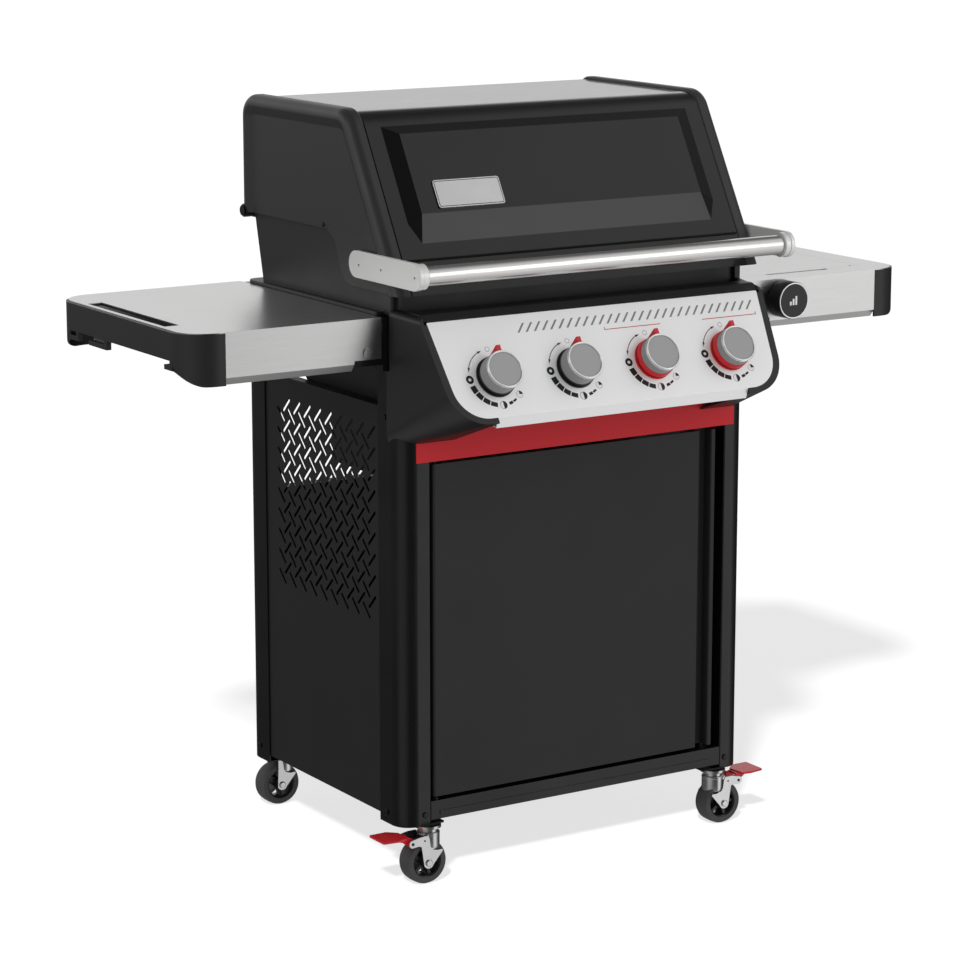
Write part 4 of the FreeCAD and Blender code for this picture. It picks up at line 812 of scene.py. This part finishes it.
def add_camera():
    """A long lens from the front left, a little above the grill."""
    camera = bpy.data.objects.new("camera", bpy.data.cameras.new("camera"))
    bpy.context.scene.collection.objects.link(camera)
    camera.data.sensor_width = 36.0
    camera.data.lens = 120.45
    camera.data.dof.use_dof = False
    camera.location = (-2.6953, -4.1487, 1.6034)
    camera.rotation_euler = (math.radians(78.10), 0.0, math.radians(-32.39))
    camera.data.clip_start, camera.data.clip_end = 0.1, 100.0
    bpy.context.scene.camera = camera


def area_light(name, position, target, width, height, power):
    """A rectangular lamp that looks at a point."""
    light = bpy.data.lights.new(name, "AREA")
    light.shape = "RECTANGLE"
    light.size, light.size_y = width, height
    light.energy = power
    lamp = bpy.data.objects.new(name, light)
    bpy.context.scene.collection.objects.link(lamp)
    lamp.location = position
    lamp.rotation_euler = (Vector(target) - Vector(position)).to_track_quat("-Z", "Y").to_euler()
    return lamp


def sun_light(direction, strength, angle, lit):
    """A sun whose light only falls on one object, though everything shades it."""
    sun = bpy.data.lights.new("sun", "SUN")
    sun.energy = strength
    sun.angle = math.radians(angle)
    lamp = bpy.data.objects.new("sun", sun)
    bpy.context.scene.collection.objects.link(lamp)
    lamp.rotation_euler = Vector(direction).to_track_quat("-Z", "Y").to_euler()
    receivers = bpy.data.collections.new("sunlit")
    receivers.objects.link(lit)
    lamp.light_linking.receiver_collection = receivers
    return lamp


def band(tree, component, stops):
    """A grey level that depends on one component of the direction, from -1 to 1."""
    remap = tree.nodes.new("ShaderNodeMapRange")
    remap.inputs["From Min"].default_value = -1.0
    tree.links.new(component, remap.inputs["Value"])
    ramp = tree.nodes.new("ShaderNodeValToRGB")
    elements = ramp.color_ramp.elements
    while len(elements) < len(stops):
        elements.new(0.5)
    for element, (level, grey) in zip(elements, stops):
        element.position = (level + 1) / 2
        element.color = (grey, grey, grey, 1)
    tree.links.new(remap.outputs["Result"], ramp.inputs["Fac"])
    return ramp.outputs["Color"]


def mixed(tree, blend, factor, first, second):
    """Two colours combined; the factor is a number or a socket."""
    node = tree.nodes.new("ShaderNodeMix")
    node.data_type = "RGBA"
    node.blend_type = blend
    if isinstance(factor, float):
        node.inputs["Factor"].default_value = factor
    else:
        tree.links.new(factor, node.inputs["Factor"])
    tree.links.new(first, node.inputs["A"])
    tree.links.new(second, node.inputs["B"])
    return node.outputs["Result"]


def background(tree, strength, colour=None):
    """A background shader, white unless it is given a colour socket."""
    node = tree.nodes.new("ShaderNodeBackground")
    node.inputs["Color"].default_value = (1, 1, 1, 1)
    node.inputs["Strength"].default_value = strength
    if colour:
        tree.links.new(colour, node.inputs["Color"])
    return node.outputs["Background"]


def studio_world():
    """White to the camera, an even dome to dull surfaces, and graded bands in reflections."""
    world = bpy.data.worlds.new("studio")
    world.use_nodes = True
    bpy.context.scene.world = world
    tree = world.node_tree
    tree.nodes.clear()
    output = tree.nodes.new("ShaderNodeOutputWorld")
    paths = tree.nodes.new("ShaderNodeLightPath")
    coordinates = tree.nodes.new("ShaderNodeTexCoord")
    split = tree.nodes.new("ShaderNodeSeparateXYZ")
    tree.links.new(coordinates.outputs["Generated"], split.inputs["Vector"])
    front = tree.nodes.new("ShaderNodeMapRange")
    front.interpolation_type = "SMOOTHSTEP"
    front.inputs["From Min"].default_value = 0.25
    front.inputs["From Max"].default_value = -0.25
    tree.links.new(split.outputs["Y"], front.inputs["Value"])
    sides, heights = split.outputs["X"], split.outputs["Z"]
    rear_look, front_look = (
        mixed(tree, "MULTIPLY", 1.0, band(tree, heights, height_stops), band(tree, sides, side_stops))
        for height_stops, side_stops in ((REAR_HEIGHT, REAR_SIDE), (FRONT_HEIGHT, FRONT_SIDE)))
    either = mixed(tree, "MIX", front.outputs["Result"], rear_look, front_look)
    whole = mixed(tree, "LIGHTEN", 1.0, either, band(tree, heights, FLOOR_GLOW))
    surface = background(tree, BAND_STRENGTH, whole)
    for ray, strength in (("Is Diffuse Ray", DOME_STRENGTH), ("Is Camera Ray", CAMERA_WHITE)):
        choice = tree.nodes.new("ShaderNodeMixShader")
        tree.links.new(paths.outputs[ray], choice.inputs["Fac"])
        tree.links.new(surface, choice.inputs[1])
        tree.links.new(background(tree, strength), choice.inputs[2])
        surface = choice.outputs["Shader"]
    tree.links.new(surface, output.inputs["Surface"])


def add_floor():
    """A pale floor that glows, so that hardly more than the sun's shadow shows on it."""
    paint = Surface("pale floor", (0.08, 0.08, 0.08), 0.9, specular=0.0)
    paint.shader.inputs["Emission Color"].default_value = (1, 1, 1, 1)
    paint.shader.inputs["Emission Strength"].default_value = 0.74
    floor_paint = paint.uneven_colour(3, 0.01).material
    half = 12.0
    mesh = bpy.data.meshes.new("floor")
    square = [(-half, -half, 0), (half, -half, 0), (half, half, 0), (-half, half, 0)]
    mesh.from_pydata(square, [], [(0, 1, 2, 3)])
    mesh.materials.append(floor_paint)
    floor = bpy.data.objects.new("floor", mesh)
    bpy.context.scene.collection.objects.link(floor)
    floor.visible_diffuse = False
    floor.visible_glossy = False
    return floor


def light_studio():
    """The backdrop, a sun for the floor's shadow, and two weak lamps for the glints."""
    bpy.context.scene.view_settings.view_transform = "Standard"
    studio_world()
    floor = add_floor()
    sun = sun_light(direction=(0.72, 0.78, -1.0), strength=14.0, angle=5.0, lit=floor)
    front = area_light("front", (2.6, -4.0, 2.2), (0.0, -0.2, 0.6), width=1.6, height=2.6, power=25)
    left = area_light("left", (-4.2, -0.6, 2.6), (0.0, 0.0, 1.0), width=1.4, height=1.4, power=12)


# ---- build -----------------------------------------------------------------------------------------------
paint_nodes()
for knob_number in KNOB_NUMBERS:
    dial_marks(knob_number)
    knob(knob_number)
bezels()
face_prints()
badge_face()
lid_bumpers()
bracket_screws()
display_details()
for corner_name in CORNERS:
    wheel(corner_name)
    fork(corner_name)
for corner_name in BRAKED_CORNERS:
    brake_pedal(corner_name)
add_camera()
light_studio()
